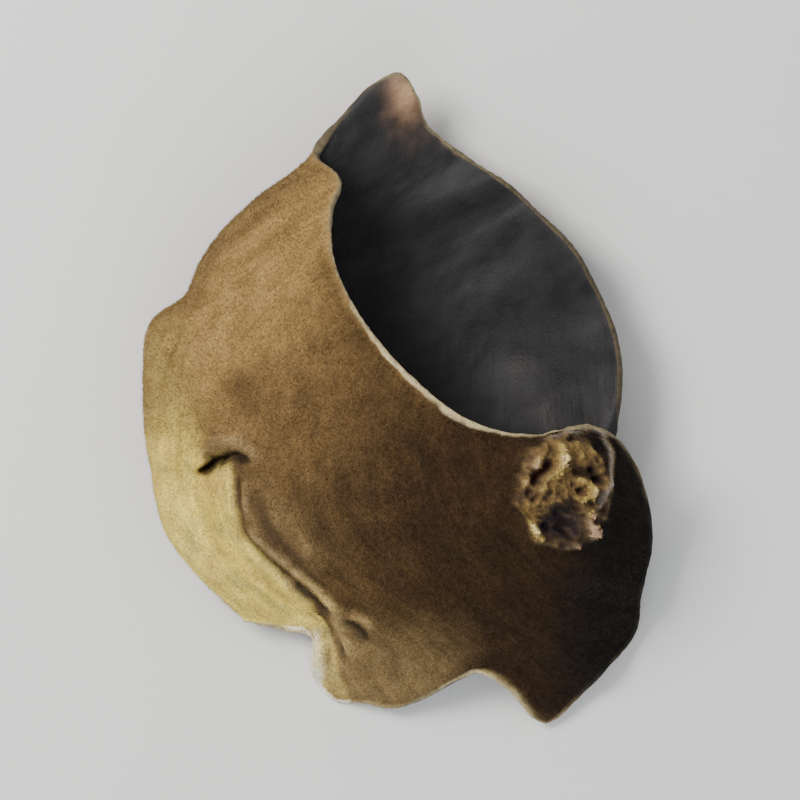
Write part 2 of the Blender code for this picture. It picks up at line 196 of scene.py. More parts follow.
CREASES = (
    (DIMPLE, -1.60, 0.34, 0.60, 0.30),
    (PLEAT_CREASE[:4], -0.34, 0.30, 0.36, 0.0),
    (PLEAT_CREASE[2:], -0.66, 0.20, 0.30, 0.08),
    (LOW_PLEAT_CREASE, -0.68, 0.22, 0.34, 0.08),
    (SOFT_CREASE, -0.26, 0.60, 0.60, 0.0),
    (RIDGE_CREASE, -0.22, 0.34, 0.42, 0.0),
    (((-8.1, -18.6), (-7.2, -19.4), (-6.4, -20.2)), -0.30, 0.24, 0.30, 0.10),
    (((-7.4, -10.3), (-6.6, -11.8), (-5.9, -13.1), (-5.3, -14.3)), -0.13, 0.50, 0.40, 0.0),
    (((-5.4, -19.7), (-4.6, -19.8), (-3.8, -20.0), (-3.2, -20.5), (-2.7, -21.2), (-2.4, -22.0)),
     -0.58, 0.30, 0.46, 0.12),
    (((-5.3, -20.6), (-5.0, -21.6), (-4.8, -22.6), (-4.4, -23.8)), -0.36, 0.34, 0.45, 0.10),
    (((-6.4, -21.2), (-6.2, -22.6), (-6.0, -24.2)), -0.22, 0.26, 0.30, 0.0),
    (((-1.6, -21.0), (-0.6, -22.3), (-0.2, -23.8), (-0.4, -25.4)), -0.16, 0.60, 0.50, 0.0),
    (((2.0, -20.6), (3.1, -21.6), (4.6, -22.3)), -0.12, 0.50, 0.50, 0.0),
)
RIDGES = (
    (((-14.75, -6.6), (-14.6, -7.9), (-14.5, -9.3), (-14.4, -10.8), (-14.1, -12.0),
      (-13.5, -13.0), (-12.5, -14.1), (-11.4, -15.0), (-10.3, -15.8), (-9.3, -16.6),
      (-8.3, -17.3), (-7.3, -18.2)), 0.30, 0.36, 0.34, 0.0),
    (((-13.3, -6.6), (-13.35, -7.8), (-13.3, -9.0), (-13.1, -10.2), (-12.8, -11.2)),
     0.14, 0.30, 0.34, 0.0),
    (((-12.95, -10.8), (-12.6, -11.9), (-11.7, -12.9), (-10.7, -13.8), (-9.7, -14.6),
      (-9.0, -15.2)), 0.26, 0.32, 0.30, 0.0),
    (((-9.6, -14.6), (-8.7, -15.3), (-7.8, -16.1), (-6.8, -17.1), (-5.8, -18.1),
      (-5.0, -18.9)), 0.40, 0.26, 0.26, 0.0),
    (((-18.0, -6.3), (-17.2, -5.0), (-16.1, -4.15), (-15.0, -3.85), (-13.8, -4.1),
      (-12.7, -5.0), (-12.2, -6.2)), 0.15, 0.60, 0.50, 0.0),
    (((-4.8, -19.0), (-3.6, -19.2), (-2.6, -19.7), (-1.9, -20.7)), 0.14, 0.36, 0.36, 0.0),
    (((-6.9, -20.8), (-6.95, -22.5), (-6.9, -24.6)), 0.25, 0.45, 0.40, 0.0),
    (((-6.0, -17.9), (-5.4, -19.0), (-4.9, -20.4), (-4.3, -21.8), (-3.5, -23.2)),
     0.20, 0.50, 0.50, 0.0),
)
SWELLINGS = (
    (((-11.2, -7.6), (-10.3, -9.6), (-9.3, -11.5), (-8.2, -13.0), (-6.9, -14.6), (-5.6, -16.0)),
     0.60, 1.5, 1.4, 0.0),
    (((-4.0, -21.6), (-2.8, -23.0), (-2.2, -24.6)), 0.30, 1.0, 1.0, 0.0),
    (((0.6, -21.4), (1.4, -23.0), (1.6, -24.6)), 0.30, 1.1, 1.0, 0.0),
)
# The dimple is pressed deeper than the flesh is thick, so the inner face gives way under it.
UNDER_DIMPLE = ((((-19.4, -8.8), *DIMPLE, (-12.2, -8.2)), 1.15, 1.2, 1.2, 0.0),)
# Where the pale lobe meets the dome and the tan low lobes.
LOBE_EDGE = (
    (-20.4, 11.0), (-19.6, 7.4), (-18.9, 4.0), (-18.2, 0.0), (-17.7, -3.2), (-17.2, -5.6),
    (-15.6, -5.3), (-14.6, -6.2), (-14.45, -8.6), (-14.2, -10.3), (-13.9, -11.7),
    (-13.3, -12.9), (-12.4, -13.9), (-11.3, -14.85), (-10.2, -15.7), (-9.0, -17.0),
    (-7.7, -18.6), (-6.6, -20.1), (-5.7, -21.4), (-5.0, -23.0), (-4.5, -24.8), (-4.2, -29.0),
)

# The torn attachment scar, in the same form.
SCAR_RIDGES = (
    (((13.9, -3.2), (14.5, -3.9), (14.7, -4.8), (14.45, -5.8), (14.3, -6.7), (14.7, -7.4)),
     0.75, 0.34, 0.34, 0.0),
    (((13.7, -3.9), (12.95, -4.9), (12.3, -5.9), (11.6, -6.9), (11.1, -7.8), (10.8, -8.8)),
     0.45, 0.34, 0.40, 0.0),
    (((13.9, -6.2), (13.3, -7.3), (12.7, -8.3), (12.5, -9.2)), 0.30, 0.40, 0.40, 0.0),
    (((10.4, -9.2), (11.0, -10.1), (11.6, -11.0), (12.05, -11.7), (12.5, -12.4),
      (12.9, -12.9)), 0.80, 0.30, 0.38, 0.0),
    (((12.0, -8.6), (12.1, -9.5), (12.5, -10.3)), 0.35, 0.40, 0.34, 0.0),
    (((14.9, -7.5), (15.4, -7.2), (16.2, -7.3), (17.0, -7.8), (17.1, -8.5), (16.2, -9.0),
      (15.3, -8.9)), 0.62, 0.32, 0.32, 0.0),
    (((15.0, -3.9), (16.2, -4.1), (17.2, -4.8), (17.5, -5.8)), 0.34, 0.40, 0.40, 0.0),
    (((15.6, -5.6), (16.3, -5.2), (16.6, -4.5)), 0.30, 0.34, 0.34, 0.0),
    (((17.4, -9.4), (17.2, -10.4), (17.2, -11.4), (17.5, -12.1), (17.1, -12.8)),
     0.65, 0.36, 0.40, 0.0),
    (((16.9, -13.0), (16.1, -13.2), (15.2, -13.5)), 0.50, 0.28, 0.28, 0.0),
)
SCAR_SLOT = (
    (((13.8, -5.2), (13.2, -6.1), (12.6, -6.7), (12.0, -7.3), (11.5, -7.8)),
     -0.75, 0.28, 0.28, 0.0),
)
SCAR_ARC = (
    (((12.6, -3.3), (13.6, -3.0), (14.6, -2.8), (16.0, -2.7), (17.4, -2.85), (18.4, -3.4),
      (19.0, -4.5), (19.15, -6.0), (18.95, -7.4), (18.5, -8.5), (17.9, -9.5), (17.5, -10.3)),
     0.45, 0.22, 0.22, 0.0),
)
# Lumps and, with a negative height, pits: X, Y, radius, height.
SCAR_LUMPS = (
    (15.1, -7.5, 0.34, 0.30), (17.05, -8.0, 0.40, 0.45), (14.4, -9.1, 0.28, 0.30),
    (12.1, -11.5, 0.36, 0.30), (12.5, -12.3, 0.34, 0.35), (15.3, -13.5, 0.36, 0.30),
    (17.5, -12.0, 0.42, 0.35), (11.6, -9.4, 0.36, 0.20), (14.6, -4.3, 0.34, 0.25),
    (15.5, -3.35, 0.36, -0.55), (17.3, -6.2, 0.38, -0.70), (17.8, -7.3, 0.42, -0.85),
    (15.8, -6.4, 0.50, -0.45), (16.1, -8.2, 0.34, -0.50), (12.05, -9.05, 0.24, -0.35),
    (14.4, -11.1, 1.15, -1.05), (15.5, -11.5, 0.95, -1.00), (13.25, -11.4, 0.42, -0.60),
    (14.9, -10.2, 0.75, -0.50), (15.7, -12.3, 0.45, -0.40), (14.5, -10.9, 0.30, 0.35),
    (14.6, -11.9, 0.30, 0.30), (18.4, -9.7, 0.42, -0.35), (13.3, -5.7, 0.40, -0.20),
)
SCAR_PIT = (14.6, -11.1)     # middle of the deep pit
SCAR_MOUND = 0.55            # how far the scar swells out of the back
SCAR_FLOOR = -0.70           # how deep its pits may go
SCAR_STAND = 1.6             # how far outside the wall's middle its marks are drawn
CRUMPLE = 0.42               # how sharply its flesh is crumpled

# Soft darker spots of the dome: X, Y, width, strength; the first is painted shade at the lobe.
DARK_SPOTS = (
    (-14.0, 1.0, 1.8, 0.46), (-12.0, 0.0, 2.2, 0.12), (-8.0, 12.0, 2.2, 0.14),
    (-1.2, 0.2, 2.8, 0.34),
)

# The velvet's hairs, and the torn flesh's fibres and crumbs.
HAIR_PIECES = 4
HAIRS_A_PIECE = 46000
HAIR_LENGTH = (0.14, 0.40)
HAIR_WIDTH = 0.036
HAIR_SUNK = 0.04             # how deep a hair's root sits in the flesh
HAIR_STAND = 0.62            # how steeply it stands, where 0 lies along the flesh
HAIR_TANGLE = 0.40           # how far it strays from its neighbours' way
FIBRES = 2600
FIBRE_LENGTH = (0.08, 0.34)
FIBRE_WIDTH = 0.045
FIBRE_STAND = 0.75
FIBRE_TANGLE = 0.8
SPIKE_FACES = ((0, 2, 1), (0, 1, 3), (1, 2, 3), (2, 0, 3))  # foot first, tip last
CRUMBS = 260
CRUMB_SIZE = (0.04, 0.15)
CRUMB_STRETCH = (0.5, 2.2)
CRUMB_ROUGHNESS = 0.28
LUMP_CELLS = 256             # cells each way of a random pattern before it repeats

# Where the mesh lies on its bake map: the back at the left, the inner face at the right and the
# rim in a strip above them.
BAKE_MARGIN = 0.01
BAKE_SIDE = (0.48, 0.88)     # width and height of each side of the sheet
BAKE_RIM = (0.91, 0.08)      # the strip's lower edge, and its height

# The camera looks straight down: metres.
CAMERA_HEIGHT = 0.60
VIEW_WIDTH = 0.0702          # what the picture spans on the ground
FLOOR_AT = -0.00002          # just under what rests on it

# The wall at some places: its middle, outward normal, share of the near leaf, place on the
# unfolded sheet and distance to the rim.
Wall = namedtuple("Wall", "middle normal near_share sheet to_rim")
# One side of the sheet: a flat mesh, the order of its border, half the wall there, the wall.
Side = namedtuple("Side", "across up faces ring half wall")
# The marks of the back: how far it stands off, how far it leans, and how much each kind adds.
Relief = namedtuple("Relief", "height lean crease ridge swelling torn slot arc bare")
# The back: its points, their colours, what colour the rim has there, and how thick the velvet is.
Back = namedtuple("Back", "side points colours rim_tone cover relief")
# Places on the back: corners of their faces, shares of these, roots, normals and colours.
Spots = namedtuple("Spots", "corners shares roots normals tint")


def periodic(values, station):
    """Smooth closed curve through rows of values, read at station numbers."""
    count = len(values)
    start = np.floor(station).astype(int)
    part = (station - start)[..., None]
    a, b, c, d = (values[(start + step) % count] for step in (-1, 0, 1, 2))
    return b + 0.5 * part * (c - a + part * (2 * a - 5 * b + 4 * c - d
                                             + part * (3 * (b - c) + d - a)))


def smooth_line(points, steps=8):
    """Points along an open line, smooth through the given ones."""
    spots = np.array(points, float)
    spots = np.vstack([2 * spots[:1] - spots[1:2], spots, 2 * spots[-1:] - spots[-2:-1]])
    station = 1 + np.linspace(0, len(points) - 1 - 1e-6, steps * (len(points) - 1) + 1)
    return periodic(spots, station)


def fold_x(y):
    """X of the left side of the ear at each Y, on a smooth line through FOLD_LINE."""
    ys, xs = np.array(FOLD_LINE).T
    slope = np.gradient(xs, ys)
    i = np.clip(np.searchsorted(ys, y) - 1, 0, len(ys) - 2)
    step = ys[i + 1] - ys[i]
    s = (y - ys[i]) / step
    rise = s * s * (3 - 2 * s)
    bend = s * (1 - s) * step * ((1 - s) * slope[i] - s * slope[i + 1])
    return xs[i] + rise * (xs[i + 1] - xs[i]) + bend


def plate_weight(square):
    """How a plate bends with the square of the distance from where it is held."""
    return square * np.log(np.maximum(square, 1e-9))


def plate(points):
    """Height field of a thin springy plate laid over the points."""
    spots = np.array(points)
    plan, count = spots[:, :2], len(spots)
    apart = ((plan[:, None] - plan[None]) ** 2).sum(-1)
    flat = np.column_stack([np.ones(count), plan])
    system = np.block([[plate_weight(apart) + PLATE_EASE * np.eye(count), flat],
                       [flat.T, np.zeros((3, 3))]])
    pull = np.linalg.solve(system, np.append(spots[:, 2], np.zeros(3)))

    def height(x, y):
        away = (x[..., None] - plan[:, 0]) ** 2 + (y[..., None] - plan[:, 1]) ** 2
        return plate_weight(away) @ pull[:count] + pull[count] + pull[-2] * x + pull[-1] * y

    return height


def rim_on_sheet():
    """The rim on the unfolded sheet: distance from the fold (far leaf negative), Y."""
    x, y, leaf = np.array([spot[1:4] for spot in RIM]).T
    reach = np.maximum(x - fold_x(y), 0) / FOLD_SOFTNESS
    return np.column_stack([leaf * FOLD_SOFTNESS * np.sqrt((1 + reach) ** 2 - 1), y])


def notched(x, y, off_fold):
    """Step the fold's outline out below the notch and in above it."""
    above = y - NOTCH_Y
    dome_share = 1 / (1 + np.exp(-above / NOTCH_SOFTNESS))
    step_in = NOTCH_IN[0] * dome_share * np.exp(-(above / NOTCH_IN[1]) ** 2)
    step_out = NOTCH_OUT[0] * (1 - dome_share) * np.exp(-(above / NOTCH_OUT[1]) ** 2)
    return x + (step_in - step_out) * np.exp(-(off_fold / NOTCH_REACH) ** 2)


def rim_sides():
    """The four sides of the sheet between CORNERS, each a function of 0 to 1 along it."""
    names = [spot[0] for spot in RIM]
    ends = [names.index(corner) for corner in CORNERS] + [len(RIM)]
    sheet = rim_on_sheet()
    sides = []
    for start, end in zip(ends, ends[1:]):
        line = periodic(sheet, np.linspace(start, end, SIDE_SAMPLES))
        length = np.append(0, np.cumsum(np.linalg.norm(np.diff(line, axis=0), axis=1)))
        sides.append((length / length[-1], line))
    return sides


def along_side(side, share):
    """Places at shares of the way along one of the sheet's sides."""
    length, line = side
    return np.stack([np.interp(share, length, line[:, axis]) for axis in (0, 1)], -1)


def stretched_sheet(across, up):
    """Places on the unfolded sheet, stretched between its four sides."""
    top, far, low, right = rim_sides()
    u, v = across[..., None], up[..., None]
    top_end, far_end, low_end, right_end = (side[1][0] for side in (top, far, low, right))
    between_low_and_top = (1 - v) * along_side(low, across) + v * along_side(top, 1 - across)
    between_far_and_right = (1 - u) * along_side(far, 1 - up) + u * along_side(right, up)
    corners = ((1 - u) * (1 - v) * low_end + u * (1 - v) * right_end
               + (1 - u) * v * far_end + u * v * top_end)
    return between_low_and_top + between_far_and_right - corners


def guide_grid():
    """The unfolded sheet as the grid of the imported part, evened out toward its top side."""
    across, up = np.meshgrid(np.linspace(0, 1, COLUMNS + 1), np.linspace(0, 1, ROWS + 1))
    sheet = stretched_sheet(across, up)
    even = sheet.copy()
    for _ in range(EVENING_STEPS):
        even[1:-1, 1:-1] = (even[:-2, 1:-1] + even[2:, 1:-1]
                            + even[1:-1, :-2] + even[1:-1, 2:]) / 4
    return sheet + up[..., None] * (even - sheet)


def cubic_shares(part):
    """Shares of four neighbours in a smooth curve between the middle two."""
    return (((2 - part) * part - 1) * part / 2, ((3 * part - 5) * part * part + 2) / 2,
            ((4 - 3 * part) * part + 1) * part / 2, (part - 1) * part * part / 2)


def read_grid(grid, across, up):
    """Values of a grid at any across and up from 0 to 1, smooth between its points."""
    rows, columns = grid.shape[0] - 1, grid.shape[1] - 1
    wide = np.pad(grid, ((1, 1), (1, 1), (0, 0)), mode="reflect", reflect_type="odd")
    column = np.clip(np.floor(across * columns).astype(int), 0, columns - 1)
    row = np.clip(np.floor(up * rows).astype(int), 0, rows - 1)
    shares_x = cubic_shares(across * columns - column)
    shares_y = cubic_shares(up * rows - row)
    total = 0
    for i, share_y in enumerate(shares_y):
        for j, share_x in enumerate(shares_x):
            total = total + (share_y * share_x)[..., None] * wide[row + i, column + j]
    return total


def beside_line(x, y, line):
    """Distance of each place from a line, unit way across it, and its share along the line.

    The distance is positive to the left of the line's own direction.
    """
    nearest = np.full(x.shape, np.inf)
    side, along = np.zeros(x.shape), np.zeros(x.shape)
    way_x, way_y = np.zeros(x.shape), np.zeros(x.shape)
    length = 0
    for start, end in zip(line, line[1:]):
        step = end[:2] - start[:2]
        reach = math.hypot(*step)
        share = np.clip(((x - start[0]) * step[0] + (y - start[1]) * step[1]) / reach ** 2, 0, 1)
        off_x, off_y = x - start[0] - share * step[0], y - start[1] - share * step[1]
        away = np.hypot(off_x, off_y)
        nearer = away < nearest
        nearest = np.where(nearer, away, nearest)
        side = np.where(nearer, np.sign(step[0] * off_y - step[1] * off_x), side)
        along = np.where(nearer, length + share * reach, along)
        way_x = np.where(nearer, -step[1] / reach, way_x)
        way_y = np.where(nearer, step[0] / reach, way_y)
        length += reach
    return side * nearest, way_x, way_y, along / length


def pleated(x, y, z, near_share):
    """Press the pleat into the near leaf and lean its dome side over it."""
    route = smooth_line(PLEAT)
    away, way_x, way_y, along = beside_line(x, y, route)
    share = np.append(0, np.cumsum(np.linalg.norm(np.diff(route[:, :2], axis=0), axis=1)))
    depth = np.interp(along, share / share[-1], route[:, 2]) * near_share ** PLEAT_FOLD_FADE
    dome_side = away > 0
    width = np.where(dome_side, PLEAT_DOME_SIDE, PLEAT_LOBE_SIDE)
    groove = depth * np.exp(-(away / width) ** 2)
    lip = np.exp(-((away - PLEAT_DOME_SIDE) / PLEAT_DOME_SIDE) ** 2)
    lean = PLEAT_LIP * lip * depth * np.clip(away / PLEAT_LIP_START, 0, 1)
    return x - way_x * lean, y - way_y * lean, z - groove + PLEAT_RISE * lean


def lumps(places, size, seed):
    """Smooth random values from about -1 to 1, with lumps of this size; one pattern a seed."""
    turns = np.random.default_rng(seed).random((LUMP_CELLS, LUMP_CELLS)) * 2 * math.pi
    spot = places / size
    cell = np.floor(spot).astype(int)
    part = spot - cell
    ease = part ** 3 * (part * (part * 6 - 15) + 10)
    total = 0
    for right in (0, 1):
        for up in (0, 1):
            turn = turns[(cell[..., 1] + up) % LUMP_CELLS, (cell[..., 0] + right) % LUMP_CELLS]
            slope = np.cos(turn) * (part[..., 0] - right) + np.sin(turn) * (part[..., 1] - up)
            share_x = ease[..., 0] if right else 1 - ease[..., 0]
            share_y = ease[..., 1] if up else 1 - ease[..., 1]
            total = total + share_x * share_y * slope
    return 1.5 * total


def rise(value, low, high):
    """0 below low, 1 above high and smooth between; falls if low is above high."""
    share = np.clip((value - low) / (high - low), 0, 1)
    return share * share * (3 - 2 * share)


def unit(vectors):
    """The vectors, each 1 long."""
    return vectors / np.linalg.norm(vectors, axis=-1)[..., None]


GUIDE = guide_grid()
NEAR_HEIGHT, FAR_HEIGHT = plate(NEAR_LEAF), plate(FAR_LEAF)


def wall_middle(across, up):
    """Middle of the wall: its places, the share of the near leaf, and its unfolded places."""
    sheet = read_grid(GUIDE, across, up)
    fold, y = sheet[..., 0] / FOLD_SOFTNESS, sheet[..., 1]
    x = notched(fold_x(y) + FOLD_SOFTNESS * (np.sqrt(1 + fold ** 2) - 1), y, sheet[..., 0])
    near_share = 0.5 + 0.5 * fold / np.sqrt(1 + fold ** 2)
    low, top = FAR_HEIGHT(x, y), NEAR_HEIGHT(x, y)
    z = low + (top - low) * near_share
    nearness = abs(2 * across - 1) ** RIM_CORNER + abs(2 * up - 1) ** RIM_CORNER
    nearness = np.minimum(nearness ** (1 / RIM_CORNER), 1)
    for waves_across, waves_up, height in RIPPLES:
        wave = np.sin(2 * math.pi * (waves_across * across + waves_up * up))
        z = z + height * nearness ** RIPPLE_RISE * wave
    x, y, z = pleated(x, y, z, near_share)
    to_rim = np.minimum(np.minimum(across, 1 - across) * SHEET_SPAN[0],
                        np.minimum(up, 1 - up) * SHEET_SPAN[1])
    z = z + RIM_WAVES[0] * np.exp(-to_rim / RIM_WAVES[1]) * lumps(sheet, 2.1, 11)
    z = z + LEAF_WAVES[0] * lumps(sheet, 6.5, 12) * rise(to_rim, 0, LEAF_WAVES[1])
    return np.stack([x, y, z], -1), near_share, sheet


def wall_frame(across, up):
    """Middle of the wall with its outward normal and the distance to the rim."""
    middle, near_share, sheet = wall_middle(across, up)
    left, right, below, above = (
        wall_middle(across + step_x * SLOPE_STEP, up + step_y * SLOPE_STEP)[0]
        for step_x, step_y in ((-1, 0), (1, 0), (0, -1), (0, 1)))
    along_x, along_y = (right - left) / (2 * SLOPE_STEP), (above - below) / (2 * SLOPE_STEP)
    normal = unit(np.cross(along_x, along_y))
    size_x, size_y = np.linalg.norm(along_x, axis=-1), np.linalg.norm(along_y, axis=-1)
    to_rim = np.minimum(np.minimum(across, 1 - across) * size_x, np.minimum(up, 1 - up) * size_y)
    return Wall(middle, normal, near_share, sheet, to_rim)


def fold_relief(x, y, sheet, folds):
    """Height of ridges and creases drawn along lines, and the sideways lean of their sides."""
    height, lean = np.zeros(x.shape), np.zeros((*x.shape, 2))
    x = x + LINE_WANDER * lumps(sheet, 1.9, 71)
    y = y + LINE_WANDER * lumps(sheet, 1.9, 72)
    strength = 1 + LINE_UNEVEN * lumps(sheet, 1.7, 73)
    for points, most, left_width, right_width, over in folds:
        line = smooth_line(points)
        reach = 4 * max(left_width, right_width)  # nothing of it is left past that
        low, high = line.min(0) - reach, line.max(0) + reach
        near = (x > low[0]) & (x < high[0]) & (y > low[1]) & (y < high[1])
        away, way_x, way_y, along = beside_line(x[near], y[near], line)
        length = np.linalg.norm(np.diff(line, axis=0), axis=1).sum()
        fade = max(LINE_END, 2.5 * left_width)
        ends = rise(np.minimum(along, 1 - along) * length, 0, fade)
        width = np.where(away > 0, left_width, right_width)
        height[near] += most * ends * strength[near] * np.exp(-(away / width) ** 2)
        beside = np.exp(-((away - left_width) / left_width) ** 2) * (away > 0)
        lean[near] -= np.stack([way_x, way_y], -1) * (over * ends * beside)[..., None]
    return height, lean


def crumpled(places, size, seed):
    """Sharp crests between rounded hollows, from about -1.2 to 0.8."""
    return 0.8 - 2.6 * abs(lumps(places, size, seed))


def on_scar(x, y, normal):
    """The scar's own plan, which lies a little above the face of the back."""
    stand = SCAR_STAND - WALL / 2
    return x + stand * normal[..., 0], y + stand * normal[..., 1]


def scar_relief(x, y, sheet):
    """The torn scar: its height, how much a place belongs to it, its tears, slot and arc."""
    edge = 1 + 0.12 * lumps(sheet, 1.6, 24)
    off_x, off_y = (x - KNOB_AT[0]) / KNOB_SHAPE[0], (y - KNOB_AT[1]) / KNOB_SHAPE[1]
    share = rise(np.hypot(off_x, off_y) * edge, KNOB_REACH, KNOB_REACH - KNOB_FADE)
    ragged = np.clip(1 + 0.7 * lumps(sheet, 1.1, 25), 0.45, 1.5)
    slot = fold_relief(x, y, sheet, SCAR_SLOT)[0]
    torn = fold_relief(x, y, sheet, SCAR_RIDGES)[0] * ragged + slot
    for lump_x, lump_y, radius, most in SCAR_LUMPS:
        torn += most * np.exp(-((x - lump_x) ** 2 + (y - lump_y) ** 2) / radius ** 2)
    torn += share * CRUMPLE * (0.6 * crumpled(sheet, 1.5, 21) + 0.3 * crumpled(sheet, 0.7, 22))
    arc = fold_relief(x, y, sheet, SCAR_ARC)[0]
    floor = SCAR_FLOOR + 0.20 * lumps(sheet, 0.7, 23)
    return np.maximum(SCAR_MOUND * share + torn + arc, floor), share, torn, slot, arc


def around_knob(sheet):
    """Each place's distance from the scar, and its turn round it, 9 for a radian."""
    off = sheet - KNOB_ON_SHEET
    return np.stack([np.hypot(off[..., 0], off[..., 1]),
                     9 * np.arctan2(off[..., 1], -off[..., 0])], -1)


def picture_plan(place):
    """Plan coordinates as the picture gives them: what lies higher shows a little further out."""
    camera = CAMERA_HEIGHT / MM
    spread = camera / (camera - place[..., 2])
    return [(place[..., axis] + SHIFT[axis]) * spread - SHIFT[axis] for axis in (0, 1)]


def outer_relief(face, wall):
    """The marks of the velvety back, and how far they stand off and lean over the plain wall."""
    x, y = picture_plan(face)
    sheet, near = wall.sheet, rise(wall.near_share, 0.5, 0.8)
    crease, lean = fold_relief(x, y, sheet, CREASES)
    ridge = fold_relief(x, y, sheet, RIDGES)[0]
    swelling = fold_relief(x, y, sheet, SWELLINGS)[0]
    scar, share, torn, slot, arc = scar_relief(*on_scar(x, y, wall.normal), sheet)
    bare = rise(share + 0.2 * lumps(sheet, 1.0, 26), 0.15, 0.75) * near
    zones = lumps(around_knob(sheet) * (1, 0.5), 1.3, 34)
    grain = 0.085 * lumps(sheet, 2.6, 31) + 0.040 * lumps(sheet, 1.1, 32)
    grain += 0.022 * lumps(sheet, 0.55, 33) + 0.035 * zones
    rim = sum(most * np.exp(-((wall.to_rim - place) / width) ** 2)
              for most, place, width in RIM_FORM)
    height = near * (crease + ridge + swelling + scar) + grain * (1 - 0.7 * share) + rim
    parts = (near * part for part in (crease, ridge, swelling, torn, slot, arc))
    return Relief(height, lean * near[..., None], *parts, bare)


def flat_sheet(finer):
    """A flat mesh over across and up, with smaller faces where each of finer says."""
    bm = bmesh.new()
    bmesh.ops.create_grid(bm, x_segments=FINE_COLUMNS, y_segments=FINE_ROWS, size=0.5)
    for wanted in finer:
        spots = np.array([face.calc_center_median() for face in bm.faces]) + 0.5
        chosen = wanted(spots[:, 0], spots[:, 1])
        edges = {edge for face, pick in zip(bm.faces, chosen) if pick for edge in face.edges}
        bmesh.ops.subdivide_edges(bm, edges=list(edges), cuts=1, use_grid_fill=True)
    bmesh.ops.triangulate(bm, faces=bm.faces)
    bm.verts.index_update()
    spots = np.array([vert.co for vert in bm.verts])[:, :2] + 0.5
    faces = np.array([[vert.index for vert in face.verts] for face in bm.faces])
    bm.free()
    return spots[:, 0], spots[:, 1], faces


def at_border(across, up):
    """Whether a place is within a few faces of the free rim."""
    return (np.minimum(across, 1 - across) * FINE_COLUMNS < BORDER_FACES) | (
        np.minimum(up, 1 - up) * FINE_ROWS < BORDER_FACES)


def in_scar(wall):
    """Whether a place belongs to the scar or lies just beside it."""
    marks = wall.middle + SCAR_STAND * wall.normal
    return np.hypot(marks[..., 0] - KNOB_AT[0], marks[..., 1] - KNOB_AT[1]) < KNOB_REACH + 0.4


def wants_medium_outside(across, up):
    """The near leaf's back, and the rim all round."""
    _, near_share, _ = wall_middle(across, up)
    return (near_share > 0.3) | at_border(across, up)


def wants_fine_outside(across, up):
    """The creases, the ridges beside them and the scar."""
    wall = wall_frame(across, up)
    relief = outer_relief(wall.middle + wall.normal * WALL / 2, wall)
    marked = (relief.crease < -0.06) | (relief.ridge > 0.1) | (relief.arc > 0.05)
    return (wall.near_share > 0.8) & (marked | in_scar(wall))


def wants_finest_outside(across, up):
    """The scar's tears, but not at the rim, where both faces need the same points."""
    wall = wall_frame(across, up)
    return (wall.near_share > 0.8) & in_scar(wall) & ~at_border(across, up)


def wants_medium_inside(across, up):
    """The far leaf's face past the near rim, and the rim all round."""
    place, near_share, _ = wall_middle(across, up)
    seen = (near_share < 0.3) & (place[..., 0] * 0.72 + place[..., 1] * 0.69 > 1.5)
    return seen | at_border(across, up)


def wants_fine_inside(across, up):
    """The same finer rim as outside."""
    return wants_fine_outside(across, up) & at_border(across, up)


def in_from_rim(share, span):
    """Across or up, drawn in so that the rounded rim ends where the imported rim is."""
    return 0.5 + (share - 0.5) * (1 - 2 * RIM_BULGE / span)


def half_wall(across, up):
    """Half the wall's thickness, which falls toward the rim."""
    nearness = np.maximum(abs(2 * across - 1), abs(2 * up - 1))
    return (WALL - (WALL - RIM_WALL) * nearness ** RIM_TAPER) / 2


def placed(points):
    """Plan millimetres as metres around the middle of the ear's box, never under the ground."""
    moved = points + np.array([*SHIFT, 0])
    z = moved[..., 2]
    flattened = GROUND_GAP * np.exp(np.minimum(z / GROUND_GAP - 1, 0))
    moved[..., 2] = np.where(z < GROUND_GAP, flattened, z)
    return moved * MM


def ring_order(across, up):
    """Indices of the sheet's border points, in order round it."""
    low, right = up < 1e-6, across > 1 - 1e-6
    high, left = up > 1 - 1e-6, across < 1e-6
    place = np.select([low & ~left, right, high, left], [across, 1 + up, 3 - across, 4 - up], -1.0)
    border = np.flatnonzero(low | right | high | left)
    return border[np.argsort(place[border])]


def shade(red, green, blue):
    """A colour as it looks on screen, as the linear numbers that a shader takes."""
    share = np.array([red, green, blue]) / 255
    return np.where(share <= 0.04045, share / 12.92, ((share + 0.055) / 1.055) ** 2.4)


def layered(colours, *layers):
    """Colours with tones laid over them in turn, each by its share at every place."""
    for tone, share in layers:
        colours = colours + (tone - colours) * share[..., None]
    return colours


GOLD = shade(158, 127, 76)
BROWN = shade(105, 81, 48)
WARM_BROWN = shade(96, 73, 42)
UMBER = shade(58, 40, 21)
# The next two tones are painted shade of the dome's side turned from the light, the first partly
# its own deep brown.
DEEP_BROWN_AND_SHADE = shade(42, 28, 15)
SHADE_BLACK = shade(24, 22, 19)
CREAM = shade(246, 222, 118)
LOBE = shade(210, 186, 92)
LOBE_WARM = shade(212, 176, 104)
LOBE_GREEN = shade(196, 192, 116)
OLIVE = shade(148, 127, 70)
IVORY = shade(250, 246, 228)
TONGUE = shade(180, 160, 100)
LOW_TAN = shade(142, 120, 80)
RIM_OLIVE = shade(158, 140, 94)
# The next two tones are painted highlight on the ridges' tops.
RIDGE_HIGHLIGHT_TAN = shade(180, 158, 116)
RIDGE_HIGHLIGHT_GOLD = shade(206, 178, 112)
# Painted highlight on the swellings.
SWELL_HIGHLIGHT_TAN = shade(132, 110, 74)
# Painted shade of the creases.
CREASE_SHADE = shade(42, 30, 17)
